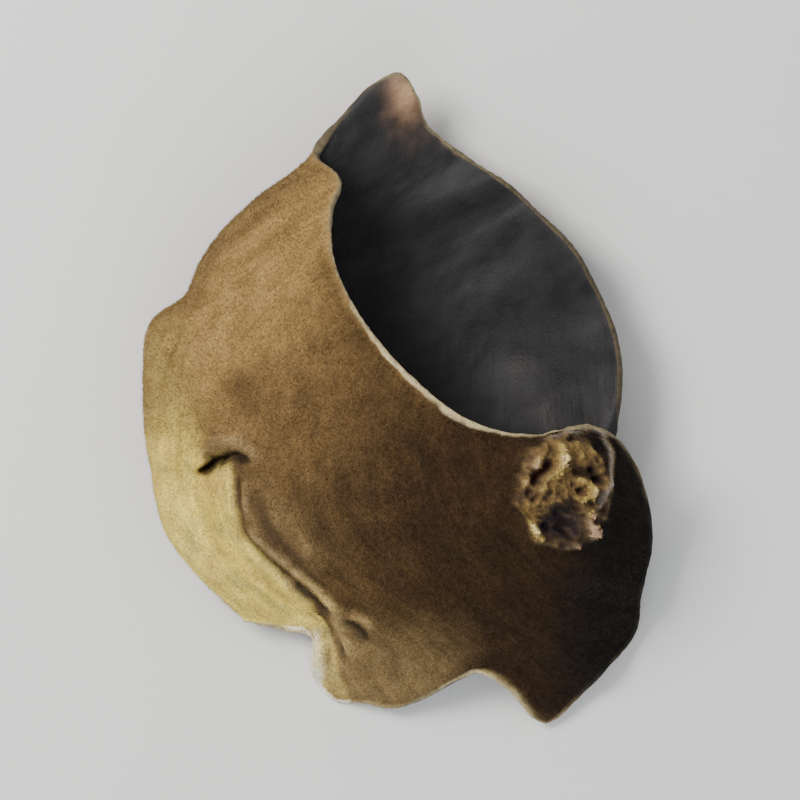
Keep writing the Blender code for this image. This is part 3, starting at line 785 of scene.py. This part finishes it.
# Painted highlight of the scar's peaks.
SCAR_HIGHLIGHT = shade(226, 208, 140)
SCAR_GOLD = shade(168, 144, 80)
SCAR_PINK = shade(172, 142, 116)
SCAR_GREY = shade(104, 84, 70)
SCAR_TAN = shade(114, 90, 52)
SCAR_BROWN = shade(70, 53, 35)
SCAR_RED = shade(58, 26, 20)
SCAR_PURPLE = shade(44, 33, 37)
SCAR_DARK = shade(30, 20, 16)
ARC_GREY = shade(132, 122, 112)
RIM_PALE = shade(200, 182, 138)
RIM_DARK = shade(48, 38, 28)
TIP_SALMON = shade(178, 142, 110)
TIP_BROWN = shade(90, 72, 60)
INNER_DARK = shade(33, 32, 33)
INNER_GREY = shade(45, 44, 45)
SCAR_TONES = np.array(
    [SCAR_DARK, SCAR_BROWN, SCAR_GREY, SCAR_TAN, SCAR_PINK, SCAR_GOLD, SCAR_HIGHLIGHT])


def spot_share(x, y, middle, width, height):
    """1 in the middle of a soft round spot, falling to 0 past its width and height."""
    return np.exp(-((x - middle[0]) / width) ** 2 - ((y - middle[1]) / height) ** 2)


def dome_colour(x, y, wall, wander):
    """The dome: golden at the upper left, darker right, partly its own brown, partly painted shade.
    """
    down_right = ((x + 14) * 0.66 + np.minimum(14 - y, 22) * 0.75 + wander) / 42  # about 0 to 1
    spots = [(UMBER, share * spot_share(x, y, (spot_x, spot_y), width, width))
             for spot_x, spot_y, width, share in DARK_SPOTS]
    colours = layered(
        GOLD,
        # Darker toward the lower right: partly its own tone, partly painted shade; the far right is
        # painted shade.
        (BROWN, rise(down_right, 0.05, 0.40)),
        (UMBER, rise(down_right, 0.38, 0.66)),
        (DEEP_BROWN_AND_SHADE, rise(down_right, 0.72, 0.95)),
        (SHADE_BLACK, rise(x + 0.5 * wander, 13.0, 19.0)),
        # Browner where the upper dome turns under at its left edge: painted shade.
        (BROWN, 0.60 * rise(wall.near_share, 0.985, 0.86) * rise(y, 2, 7)),
        *spots)
    blotches = 1 - 0.20 * rise(lumps(wall.sheet, 3.4, 45), 0.15, 0.8)
    return colours * blotches[..., None]


def scar_colour(x, y, sheet, relief):
    """The torn flesh: dark deep down, partly painted shade; golden or pinkish higher up; painted
    highlights.
    """
    tone = relief.torn + 0.10 * lumps(sheet, 0.45, 46)
    pit = spot_share(x, y, SCAR_PIT, 2.2, 2.1)
    pink = spot_share(x, y, (17.4, -11.6), 1.6, 1.8) + spot_share(x, y, (15.8, -13.4), 1.6, 0.9)
    pink = np.clip(pink + 0.6 * spot_share(x, y, (12.0, -6.4), 1.2, 1.6), 0, 1)
    middle = layered(SCAR_TAN, (SCAR_GREY, 0.7 * pink))
    high = layered(SCAR_GOLD, (SCAR_PINK, pink))
    # Darker the deeper it lies: partly its own colour, partly painted shade.
    return layered(
        SCAR_DARK,
        (SCAR_PURPLE, np.clip(pit, 0, 0.9)),
        (SCAR_RED, np.clip(-relief.slot / 0.4, 0, 1)),
        (SCAR_GREY, 0.6 * pit * rise(lumps(sheet, 0.7, 23), 0.1, 0.7)),
        (SCAR_BROWN, rise(tone, -0.55, -0.20) * (1 - 0.6 * pit)),
        (middle, rise(tone, -0.15, 0.20) * (1 - 0.5 * pit)),
        (high, rise(tone, 0.20, 0.70)),
        # Painted highlight on the peaks.
        (SCAR_HIGHLIGHT, rise(tone, 0.80, 1.40) * (1 - pink)))


def back_colour(face, wall, relief):
    """Colours of the velvety back: the dome, the pale lobe, the low lobes, folds and scar."""
    x, y = picture_plan(face)
    sheet, to_rim, near = wall.sheet, wall.to_rim, rise(wall.near_share, 0.35, 0.6)
    wander = 2.4 * lumps(sheet, 7.0, 41) + 1.2 * lumps(sheet, 2.6, 42)
    away = beside_line(x, y, smooth_line(LOBE_EDGE))[0]
    softness = 0.4 + 3.4 * rise(y, -6.5, -1)
    lobe = rise((0.35 * wander - away) / softness, -0.6, 0.6) * near
    dome = (1 - lobe) * near
    pale = lobe * rise(y, -1.0, -7.0)
    patch = lumps(sheet, 2.4, 49)
    low = rise(y + 0.6 * wander, -17.5, -24.0) * rise(x + 0.4 * wander, 9.0, 1.0)
    rim = rise(to_rim + 0.15 * wander, 1.3, 0.5) * rise(y, -18, -20) * rise(x + 0.4 * wander, 14, 9)
    tongue = lobe * rise(y, -19.6, -20.6)
    ivory = np.clip(1.5 * spot_share(x + 0.1 * wander, y, (-7.1, -23.1), 0.46, 1.9), 0, 1)
    # Painted highlight along the ridges' tops.
    folds = np.clip(relief.ridge / 0.4, 0, 1) * 0.8
    colours = layered(
        dome_colour(x, y, wall, wander),
        # The pale lobe.
        (OLIVE, lobe * (1 - 0.6 * rise(y, 3, 10))),
        (LOBE, lobe * rise(y + 0.5 * wander, 1.0, -5.5)),
        (CREAM, lobe * rise(y + 0.8 * wander, -6.0, -13.0) * 0.9),
        (LOBE_WARM, 0.60 * pale * rise(patch, 0.05, 0.60)),
        (LOBE_GREEN, 0.60 * pale * rise(patch, -0.05, -0.60)),
        (LOBE_WARM, 0.60 * pale * spot_share(x, y, (-15.7, -7.6), 1.5, 1.3)),
        # The low lobes and their rim.
        (WARM_BROWN, 0.7 * rise(y + wander, -12, -19) * rise(x, 7, -3) * dome),
        (LOW_TAN, 0.90 * low * dome),
        (RIM_OLIVE, 0.80 * rim * dome),
        # The tongue.
        (TONGUE, 0.85 * tongue),
        (GOLD, 0.6 * tongue * rise(lumps(sheet, 1.5, 48), -0.1, 0.6)),
        (IVORY, tongue * np.maximum(ivory, rise(to_rim, 1.0, 0.6))),
        # Painted highlight on what stands up along the pleat, and painted shade in the creases.
        (SWELL_HIGHLIGHT_TAN, np.clip(relief.swelling / 0.6, 0, 1) * 0.65 * (1 - lobe)),
        (SWELL_HIGHLIGHT_TAN, 0.45 * spot_share(x, y, (-12.0, -10.0), 1.6, 3.6) * dome),
        (RIDGE_HIGHLIGHT_TAN, folds * (1 - lobe)),
        (RIDGE_HIGHLIGHT_GOLD, folds * (1 - lobe) * rise(y, -14.0, -16.0)),
        (CREAM, folds * lobe),
        (BROWN, (1 - near) * 0.75),
        # Painted shade in the creases.
        (CREASE_SHADE, np.clip(-relief.crease / 0.42, 0, 1) * 0.9),
        # The scar.
        (scar_colour(*on_scar(x, y, wall.normal), sheet, relief), relief.bare),
        (ARC_GREY, np.clip(relief.arc / 0.35, 0, 1) * 0.8))
    zones = lumps(around_knob(sheet) * (1, 0.4), 0.9, 44)
    mottle = 1 + 0.20 * lumps(sheet, 1.7, 43) + 0.16 * zones + 0.08 * lumps(sheet, 0.5, 47)
    return colours * mottle[..., None]


def inner_colour(wall):
    """Colours of the dark inner face, with the brown and salmon patch of the far tip."""
    x, y, sheet = wall.middle[..., 0], wall.middle[..., 1], wall.sheet
    cloud = lumps(sheet, 4.5, 63) + 0.5 * lumps(sheet, 1.6, 65)
    wander = 1.1 * lumps(sheet, 2.4, 66) + 0.5 * lumps(sheet, 0.9, 68)
    brown = rise(y + wander, 21.0, 26.5) * rise(x + 0.6 * wander, -2.6, 0.2)
    salmon = spot_share(x + 0.3 * wander, y + 0.3 * wander, (0.9, 26.5), 1.0, 1.6)
    return layered(
        INNER_DARK,
        (INNER_GREY, rise(cloud, -0.5, 1.0)),
        (TIP_BROWN, 0.9 * brown),
        (TIP_SALMON, np.clip(1.2 * salmon, 0, 1)))


def rim_paleness(sheet):
    """How pale the free rim is beside each place of the unfolded sheet."""
    values = np.array([spot[4] for spot in RIM])
    apart = ((sheet[:, None] - rim_on_sheet()[None]) ** 2).sum(-1)
    nearness = 1 / (apart + RIM_BLEND ** 2) ** 2
    return (nearness * values).sum(1) / nearness.sum(1)


def sheet_side(finer):
    """One side of the sheet, with smaller faces where each of finer says."""
    across, up, faces = flat_sheet(finer)
    wall = wall_frame(in_from_rim(across, SHEET_SPAN[0]), in_from_rim(up, SHEET_SPAN[1]))
    return Side(across, up, faces, ring_order(across, up), half_wall(across, up), wall)


def velvety_back():
    """The outer side of the sheet, with its marks, its colours and the cover of its hairs."""
    side = sheet_side((wants_medium_outside, wants_fine_outside, wants_finest_outside))
    wall = side.wall
    face = wall.middle + wall.normal * side.half[..., None]
    relief = outer_relief(face, wall)
    points = face + wall.normal * relief.height[..., None]
    points[..., :2] += relief.lean
    paleness = rim_paleness(wall.sheet)
    rim_tone = layered(RIM_DARK, (RIM_PALE, paleness))
    edge = rise(wall.to_rim + 0.25 * lumps(wall.sheet, 1.0, 51), 0.50, 0.12)
    colours = layered(back_colour(face, wall, relief),
                      (rim_tone, edge * np.clip(0.25 + paleness, 0, 0.9)))
    cover = rise(wall.near_share, 0.35, 0.55) * rise(wall.to_rim, 0.25, 0.9) * (1 - relief.bare)
    cover *= 1 - 0.8 * np.clip(-relief.crease / 0.5, 0, 1)
    return Back(side, points, colours, rim_tone, cover, relief)


def dark_inner_face():
    """The inner side of the sheet, its points and their colours."""
    side = sheet_side((wants_medium_inside, wants_fine_inside))
    wall, sheet = side.wall, side.wall.sheet
    folds = 0.10 * lumps(sheet, 4.2, 61) + 0.035 * lumps(sheet, 1.7, 62)
    folds += 0.02 * lumps(sheet, 0.8, 67)
    lines = picture_plan(wall.middle + wall.normal * WALL / 2)
    under = fold_relief(*lines, sheet, UNDER_DIMPLE)[0] * rise(wall.near_share, 0.5, 0.8)
    points = wall.middle - wall.normal * (side.half + folds + under)[..., None]
    rim_tone = layered(RIM_DARK, (RIM_PALE, rim_paleness(sheet)))
    edge = rise(wall.to_rim + 0.15 * lumps(sheet, 1.1, 64), 0.30, 0.02)
    return side, points, layered(inner_colour(wall), (rim_tone, edge * 0.8))


def rounded_rim(back, inner, inner_points):
    """Rows of points round the rim from the back to the inner face, and one row's colours."""
    wall, ring = back.side.wall, back.side.ring
    middle, normal, sheet = wall.middle[ring], wall.normal[ring], wall.sheet[ring]
    out = unit(np.cross(np.roll(middle, -1, 0) - np.roll(middle, 1, 0), normal))
    back_half = ((back.points - wall.middle) * wall.normal).sum(-1)[ring]
    inner_half = -((inner_points - inner.wall.middle) * inner.wall.normal).sum(-1)[inner.ring]
    rows = []
    for turn in range(1, RIM_TURNS):
        angle = math.pi * turn / RIM_TURNS
        off = np.where(math.cos(angle) > 0, back_half, inner_half) * math.cos(angle)
        bulge = RIM_BULGE * math.sin(angle) * (1 + 0.35 * lumps(sheet, 0.9, 52 + turn))
        rows.append(middle + normal * off[:, None] + out * bulge[:, None])
    tone = 1 + 0.25 * lumps(sheet, 0.8, 58) + 0.15 * lumps(sheet, 0.35, 59)
    return rows, back.rim_tone[ring] * tone[:, None]


def rim_strip(rings):
    """Faces between neighbouring rings of points, and their corners on the bake map."""
    count = len(rings[0])
    left, right = np.arange(count) / count, np.arange(1, count + 1) / count
    faces, places = [], []
    for row, (one, other) in enumerate(zip(rings, rings[1:])):
        low, high = (np.full(count, BAKE_RIM[0] + BAKE_RIM[1] * step / RIM_TURNS)
                     for step in (row, row + 1))
        corners = np.stack([one, other, np.roll(other, -1), np.roll(one, -1)], -1)
        spots = np.stack([left, low, left, high, right, high, right, low], -1).reshape(-1, 4, 2)
        for triangle in ([0, 1, 2], [0, 2, 3]):
            faces.append(corners[:, triangle])
            places.append(spots[:, triangle])
    return faces, places


def bake_places(side, left):
    """Where the points of one side lie on the bake map, from its left edge there."""
    return np.column_stack([left + BAKE_SIDE[0] * side.across,
                            BAKE_MARGIN + BAKE_SIDE[1] * side.up])


def flesh_mesh():
    """The whole ear as one closed mesh: velvety back, rounded rim and dark inner face."""
    back = velvety_back()
    outer = back.side
    inner, inner_points, inner_colours = dark_inner_face()
    rim_rows, rim_colours = rounded_rim(back, inner, inner_points)
    parts = [back.points, inner_points] + rim_rows
    starts = np.cumsum([0] + [len(part) for part in parts])
    rim_rings = [start + np.arange(len(outer.ring)) for start in starts[2:-1]]
    strip, strip_places = rim_strip([outer.ring] + rim_rings + [starts[1] + inner.ring])
    inner_faces = inner.faces[:, ::-1]
    faces = np.vstack([outer.faces, inner_faces + starts[1]] + strip)
    kinds = np.repeat([0, 1, 2], [len(outer.faces), len(inner_faces), sum(map(len, strip))])
    places = np.vstack([bake_places(outer, BAKE_MARGIN)[outer.faces],
                        bake_places(inner, 0.5 + BAKE_MARGIN)[inner_faces]] + strip_places)
    body = untangled(np.vstack(parts), faces)

    mesh = new_mesh("wood_ear_flesh", body, faces, kinds)
    colours = np.vstack([back.colours, inner_colours] + [rim_colours] * len(rim_rows))
    store(mesh, "flesh_colour", "FLOAT_COLOR", "color",
          np.column_stack([np.clip(colours, 0, 1), np.ones(len(colours))]))
    sheets = [outer.wall.sheet, inner.wall.sheet] + [outer.wall.sheet[outer.ring]] * len(rim_rows)
    grain = around_knob(np.vstack(sheets))
    store(mesh, "grain", "FLOAT_VECTOR", "vector", np.column_stack([grain, np.zeros(len(grain))]))
    mesh.uv_layers.new(name="OFBake").data.foreach_set("uv", places.astype(np.float32).ravel())
    return mesh, back._replace(points=body[:len(back.points)])


def new_mesh(name, points, faces, kinds):
    """A smooth mesh of triangles; kinds gives the number of each face's material."""
    mesh = bpy.data.meshes.new(name)
    mesh.from_pydata(placed(points), [], faces)
    mesh.polygons.foreach_set("material_index", kinds.astype(np.int32))
    mesh.polygons.foreach_set("use_smooth", np.ones(len(faces), bool))
    return mesh


def crossing_faces(points, faces):
    """Indices of the faces that cross another one without sharing a corner with it."""
    tree = BVHTree.FromPolygons(points.tolist(), faces.tolist(), all_triangles=True)
    pairs = np.array(tree.overlap(tree), int).reshape(-1, 2)
    one, other = faces[pairs[:, 0]], faces[pairs[:, 1]]
    joined = (one[:, :, None] == other[:, None]).any((1, 2))
    return np.unique(pairs[~joined])


def untangled(points, faces):
    """The points, evened out around each place where the sides of a crease cross."""
    edges = np.unique(np.sort(np.vstack([faces[:, :2], faces[:, 1:], faces[:, ::2]]), 1), axis=0)
    count = np.bincount(edges.ravel(), minlength=len(points))[:, None]

    def around(values):
        total = np.zeros_like(values)
        np.add.at(total, edges[:, 0], values[edges[:, 1]])
        np.add.at(total, edges[:, 1], values[edges[:, 0]])
        return total / count

    points = points.copy()
    for _ in range(UNTANGLE_ROUNDS):
        crossing = crossing_faces(points, faces)
        if not len(crossing):
            break
        loose = np.zeros((len(points), 1))
        loose[np.unique(faces[crossing])] = 1
        for _ in range(2):
            loose = np.maximum(loose, UNTANGLE_AROUND * (around(loose) > 0))
        for _ in range(UNTANGLE_STEPS):
            points += 0.5 * loose * (around(points) - points)
    return points


def spots_on(back, weight, count, random):
    """Random places on the back, more of them where the weight is higher."""
    corners = back.points[back.side.faces]
    cross = np.cross(corners[:, 1] - corners[:, 0], corners[:, 2] - corners[:, 0])
    area = np.linalg.norm(cross, axis=1)
    chance = area * weight[back.side.faces].mean(1)
    chosen = random.choice(len(corners), count, p=chance / chance.sum())
    shares = random.dirichlet((1, 1, 1), count)[..., None]
    picked = back.side.faces[chosen]
    return Spots(picked, shares, (corners[chosen] * shares).sum(1),
                 cross[chosen] / area[chosen, None], (back.colours[picked] * shares).sum(1))


def nearest_tone(colours, tones):
    """Index of the tone that each colour is nearest to, by eye."""
    apart = ((colours[:, None] ** 0.45 - tones[None] ** 0.45) ** 2).sum(-1)
    return apart.argmin(1)


def spikes(roots, normals, way, length, width):
    """Short tapered spikes, each as three corners of its foot and its tip."""
    side = unit(np.cross(way, normals + 0.01))
    other = np.cross(way, side)
    foot = roots - normals * HAIR_SUNK
    reach = width / math.sqrt(3)
    corners = [foot + reach * (side * math.cos(turn) + other * math.sin(turn))
               for turn in np.arange(3) * 2 * math.pi / 3]
    return np.stack(corners + [roots + way * length[:, None]], 1)


def add_many(name, shapes, faces, kinds, materials):
    """One piece of many small shapes: their points, the faces each has, and their tones."""
    shifts = shapes.shape[1] * np.arange(len(shapes))[:, None, None]
    mesh = new_mesh(name, shapes.reshape(-1, 3), (faces[None] + shifts).reshape(-1, 3),
                    np.repeat(kinds, len(faces)))
    add_piece(mesh, materials)


def tones_of(tint, random, tones, spread):
    """The nearest of the tones to each tint, made lighter or darker at random."""
    shine = np.clip(1 + spread * random.normal(size=len(tint)), 0.4, 2)
    return nearest_tone(np.clip(tint * shine[:, None], 0, 1), tones)


def tone_materials(name, tones, roughness):
    """A plain material for each tone."""
    return [plain_material(f"{name}_{i}", tone, roughness) for i, tone in enumerate(tones)]


def hair_tones():
    """The velvet's tones, in half steps from cream and gold to nearly black, and pale ones."""
    steps = np.array([CREAM, OLIVE, GOLD, BROWN, UMBER, DEEP_BROWN_AND_SHADE, SHADE_BLACK])
    halfway = steps[:-1] + (steps[1:] - steps[:-1]) * 0.5
    blends = np.stack([steps[:-1], halfway], 1).reshape(-1, 3)
    return np.vstack([blends, [SHADE_BLACK, LOW_TAN, RIDGE_HIGHLIGHT_TAN, CREAM * 1.25, IVORY]])


def add_hairs(back):
    """The velvet: short tapered hairs, combed away from the scar and a little tangled."""
    random = np.random.default_rng(7)
    count = HAIR_PIECES * HAIRS_A_PIECE
    spots = spots_on(back, back.cover, count, random)
    roots, normals = spots.roots, spots.normals
    thick = (back.cover[spots.corners] * spots.shares[..., 0]).sum(1)
    comb = roots - np.array([*KNOB_AT, roots[:, 2].mean()])
    comb = unit(comb - (comb * normals).sum(1)[:, None] * normals)
    swirl = 1.1 * lumps(roots[:, :2], 3.0, 81) + 0.7 * lumps(roots[:, :2], 0.9, 82)
    comb = comb * np.cos(swirl)[:, None] + np.cross(normals, comb) * np.sin(swirl)[:, None]
    way = unit(HAIR_STAND * normals + comb + HAIR_TANGLE * random.normal(size=(count, 3)))
    length = random.uniform(*HAIR_LENGTH, count) * (0.45 + 0.55 * thick)
    hairs = spikes(roots, normals, way, length, HAIR_WIDTH)
    tones = hair_tones()
    # Each hair takes the back's colour at its root, painted shade and highlights included.
    kinds = tones_of(spots.tint, random, tones, 0.30)
    materials = tone_materials("hair", tones, 0.8)
    for number, picked in enumerate(np.array_split(roots[:, 0].argsort(), HAIR_PIECES)):
        add_many(f"velvet_hairs_{number + 1}", hairs[picked], np.array(SPIKE_FACES),
                 kinds[picked], materials)


def add_fibres(back):
    """Torn fibres that stick out of the scar's ridges."""
    random = np.random.default_rng(8)
    weight = back.relief.bare * (0.08 + rise(back.relief.torn, 0.1, 0.9))
    spots = spots_on(back, weight, FIBRES, random)
    way = unit(FIBRE_STAND * spots.normals + FIBRE_TANGLE * random.normal(size=(FIBRES, 3)))
    length = FIBRE_LENGTH[0] + (FIBRE_LENGTH[1] - FIBRE_LENGTH[0]) * random.random(FIBRES) ** 2
    kinds = tones_of(1.15 * spots.tint, random, SCAR_TONES, 0.25)
    add_many("scar_fibres", spikes(spots.roots, spots.normals, way, length, FIBRE_WIDTH),
             np.array(SPIKE_FACES), kinds, tone_materials("fibre", SCAR_TONES, 0.7))


def add_crumbs(back):
    """Crumbs of torn flesh that cling to the scar's ridges."""
    random = np.random.default_rng(9)
    weight = back.relief.bare * rise(back.relief.torn, 0.25, 1.0)
    spots = spots_on(back, weight, CRUMBS, random)
    bm = bmesh.new()
    bmesh.ops.create_icosphere(bm, subdivisions=1, radius=1)
    ball = np.array([vert.co for vert in bm.verts])
    ball_faces = np.array([[vert.index for vert in face.verts] for face in bm.faces])
    bm.free()
    size = CRUMB_SIZE[0] + (CRUMB_SIZE[1] - CRUMB_SIZE[0]) * random.random(CRUMBS) ** 3
    size = size[:, None, None]
    shape = ball[None] * (1 + CRUMB_ROUGHNESS * random.normal(size=(CRUMBS, len(ball), 1)))
    stretch = random.uniform(*CRUMB_STRETCH, (CRUMBS, 1, 3))
    crumbs = spots.roots[:, None] + spots.normals[:, None] * 0.3 * size + shape * stretch * size
    kinds = tones_of(1.1 * spots.tint, random, SCAR_TONES, 0.2)
    add_many("scar_crumbs", crumbs, ball_faces, kinds, tone_materials("crumb", SCAR_TONES, 0.7))


def store(mesh, name, kind, field, values):
    """Keep the values on the mesh's points, for its materials to read."""
    attribute = mesh.attributes.new(name, kind, "POINT")
    attribute.data.foreach_set(field, np.ascontiguousarray(values, np.float32).ravel())


def plain_material(name, colour, roughness):
    """A dull material of one tone, for pieces too small to show any grain."""
    made = bpy.data.materials.new(name)
    made.use_nodes = True
    shader = made.node_tree.nodes["Principled BSDF"]
    shader.inputs["Base Color"].default_value = (*np.clip(colour, 0, 1), 1)
    shader.inputs["Roughness"].default_value = roughness
    shader.inputs["Specular IOR Level"].default_value = 0.15
    return made


class Finish:
    """A material whose colour is the mesh's own, with noise for its grain, gloss and relief."""

    def __init__(self, name):
        self.made = bpy.data.materials.new(name)
        self.made.use_nodes = True
        self.nodes, self.links = self.made.node_tree.nodes, self.made.node_tree.links
        self.shader = self.nodes["Principled BSDF"]
        self.places = self.nodes.new("ShaderNodeTexCoord").outputs["Object"]
        self.grain = self.attribute("grain", "Vector")
        self.relief = None

    def attribute(self, name, output):
        node = self.nodes.new("ShaderNodeAttribute")
        node.attribute_name = name
        return node.outputs[output]

    def noise(self, places, scale, detail=3.0, squash=(1, 1, 1)):
        """Noise from 0 to 1; scale is lumps for each unit of its places."""
        mapping = self.nodes.new("ShaderNodeMapping")
        mapping.inputs["Scale"].default_value = squash
        self.links.new(places, mapping.inputs["Vector"])
        node = self.nodes.new("ShaderNodeTexNoise")
        node.inputs["Scale"].default_value = scale
        node.inputs["Detail"].default_value = detail
        self.links.new(mapping.outputs["Vector"], node.inputs["Vector"])
        return node.outputs["Fac"]

    def spread(self, value, low, high):
        """The middle of a noise's values, spread over low to high."""
        node = self.nodes.new("ShaderNodeMapRange")
        limits = {"From Min": 0.3, "From Max": 0.7, "To Min": low, "To Max": high}
        for name, limit in limits.items():
            node.inputs[name].default_value = limit
        self.links.new(value, node.inputs["Value"])
        return node.outputs["Result"]

    def times(self, one, other):
        node = self.nodes.new("ShaderNodeVectorMath")
        node.operation = "MULTIPLY"
        self.links.new(one, node.inputs[0])
        self.links.new(other, node.inputs[1])
        return node.outputs["Vector"]

    def colour(self, *shades):
        """The mesh's own colours, lightened and darkened by each of the shades."""
        result = self.attribute("flesh_colour", "Color")
        for tone in shades:
            result = self.times(result, tone)
        self.links.new(result, self.shader.inputs["Base Color"])

    def bump(self, value, height):
        node = self.nodes.new("ShaderNodeBump")
        node.inputs["Distance"].default_value = height
        self.links.new(value, node.inputs["Height"])
        if self.relief:
            self.links.new(self.relief, node.inputs["Normal"])
        self.relief = node.outputs["Normal"]
        self.links.new(self.relief, self.shader.inputs["Normal"])

    def roughness(self, value, low, high):
        self.links.new(self.spread(value, low, high), self.shader.inputs["Roughness"])

    def constant(self, **values):
        for name, value in values.items():
            self.shader.inputs[name.replace("_", " ")].default_value = value


def velvet_finish():
    """Dull felted flesh, darker and lighter in rings round the scar."""
    finish = Finish("velvety_back")
    fuzz = finish.noise(finish.places, 5200)
    zones = finish.noise(finish.grain, 2.4, squash=(1, 0.35, 1))
    finish.colour(finish.spread(fuzz, 0.70, 1.22), finish.spread(zones, 0.84, 1.14))
    finish.bump(finish.noise(finish.places, 2400), 0.00009)
    finish.bump(fuzz, 0.00006)
    finish.roughness(fuzz, 0.80, 0.97)
    finish.constant(Specular_IOR_Level=0.25, Sheen_Weight=0.05, Sheen_Roughness=0.5,
                    Sheen_Tint=(0.85, 0.62, 0.38, 1))
    return finish.made


def inner_finish():
    """Smooth dark flesh with faint wrinkles and pores, a little glossy."""
    finish = Finish("dark_inner_face")
    cloud = finish.noise(finish.places, 420, 5)
    pores = finish.noise(finish.places, 4200, 2)
    wrinkles = finish.noise(finish.grain, 0.8, 4, squash=(1, 1.5, 1))
    finish.colour(finish.spread(cloud, 0.75, 1.30), finish.spread(pores, 0.86, 1.12))
    finish.bump(wrinkles, 0.00012)
    finish.bump(pores, 0.00003)
    finish.roughness(cloud, 0.50, 0.70)
    finish.constant(Specular_IOR_Level=0.22)
    return finish.made


def rim_finish():
    """Crumbly flesh where the wall is thinnest."""
    finish = Finish("pale_rim")
    crumble = finish.noise(finish.places, 2600)
    finish.colour(finish.spread(crumble, 0.68, 1.22))
    finish.bump(crumble, 0.00012)
    finish.roughness(crumble, 0.65, 0.85)
    finish.constant(Specular_IOR_Level=0.3)
    return finish.made


def make_camera():
    """A camera over the ear, looking straight down as the photograph does."""
    data = bpy.data.cameras.new("camera")
    data.sensor_width = 36
    data.lens = data.sensor_width * CAMERA_HEIGHT / VIEW_WIDTH
    data.clip_start, data.clip_end = 0.01, 10
    camera = bpy.data.objects.new("camera", data)
    camera.location = (0, 0, CAMERA_HEIGHT)
    bpy.context.scene.collection.objects.link(camera)
    bpy.context.scene.camera = camera


def aim(thing, place, target):
    """Put a thing in its place and turn it toward the target."""
    thing.location = place
    thing.rotation_euler = (Vector(target) - Vector(place)).to_track_quat("-Z", "Y").to_euler()


def make_lights():
    """A large soft key light from the upper left, a weak fill from below and a pale sky."""
    for name, place, size, power, colour in (
            ("key", (-0.16, 0.10, 0.23), 0.13, 1.00, (1.0, 0.97, 0.92)),
            ("fill", (-0.02, -0.24, 0.18), 0.25, 0.32, (0.95, 0.97, 1.0))):
        data = bpy.data.lights.new(name, "AREA")
        data.size, data.energy, data.color = size, power, colour
        lamp = bpy.data.objects.new(name, data)
        bpy.context.scene.collection.objects.link(lamp)
        aim(lamp, place, (0, 0, 0.006))
    world = bpy.data.worlds.new("studio")
    world.use_nodes = True
    world.node_tree.nodes["Background"].inputs["Color"].default_value = (0.95, 0.97, 1, 1)
    world.node_tree.nodes["Background"].inputs["Strength"].default_value = 0.65
    bpy.context.scene.world = world


def make_floor():
    """The plain pale floor, which isn't part of the ear."""
    bpy.ops.mesh.primitive_plane_add(size=3, location=(0, 0, FLOOR_AT))
    floor = bpy.context.object
    floor.name = "floor"
    made = bpy.data.materials.new("pale_floor")
    made.use_nodes = True
    shader = made.node_tree.nodes["Principled BSDF"]
    shader.inputs["Base Color"].default_value = (0.80, 0.80, 0.79, 1)
    shader.inputs["Roughness"].default_value = 0.6
    floor.data.materials.append(made)


def add_piece(mesh, materials):
    """Make the mesh a piece of the dried flesh that moves with the ear."""
    piece = bpy.data.objects.new(mesh.name, mesh)
    bpy.context.scene.collection.objects.link(piece)
    for made in materials:
        mesh.materials.append(made)
    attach(piece, "root")
    return piece


make_camera()
make_lights()
make_floor()
mesh, back = flesh_mesh()
flesh = add_piece(mesh, (velvet_finish(), inner_finish(), rim_finish()))
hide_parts("wood_ear")
add_hairs(back)
add_fibres(back)
add_crumbs(back)
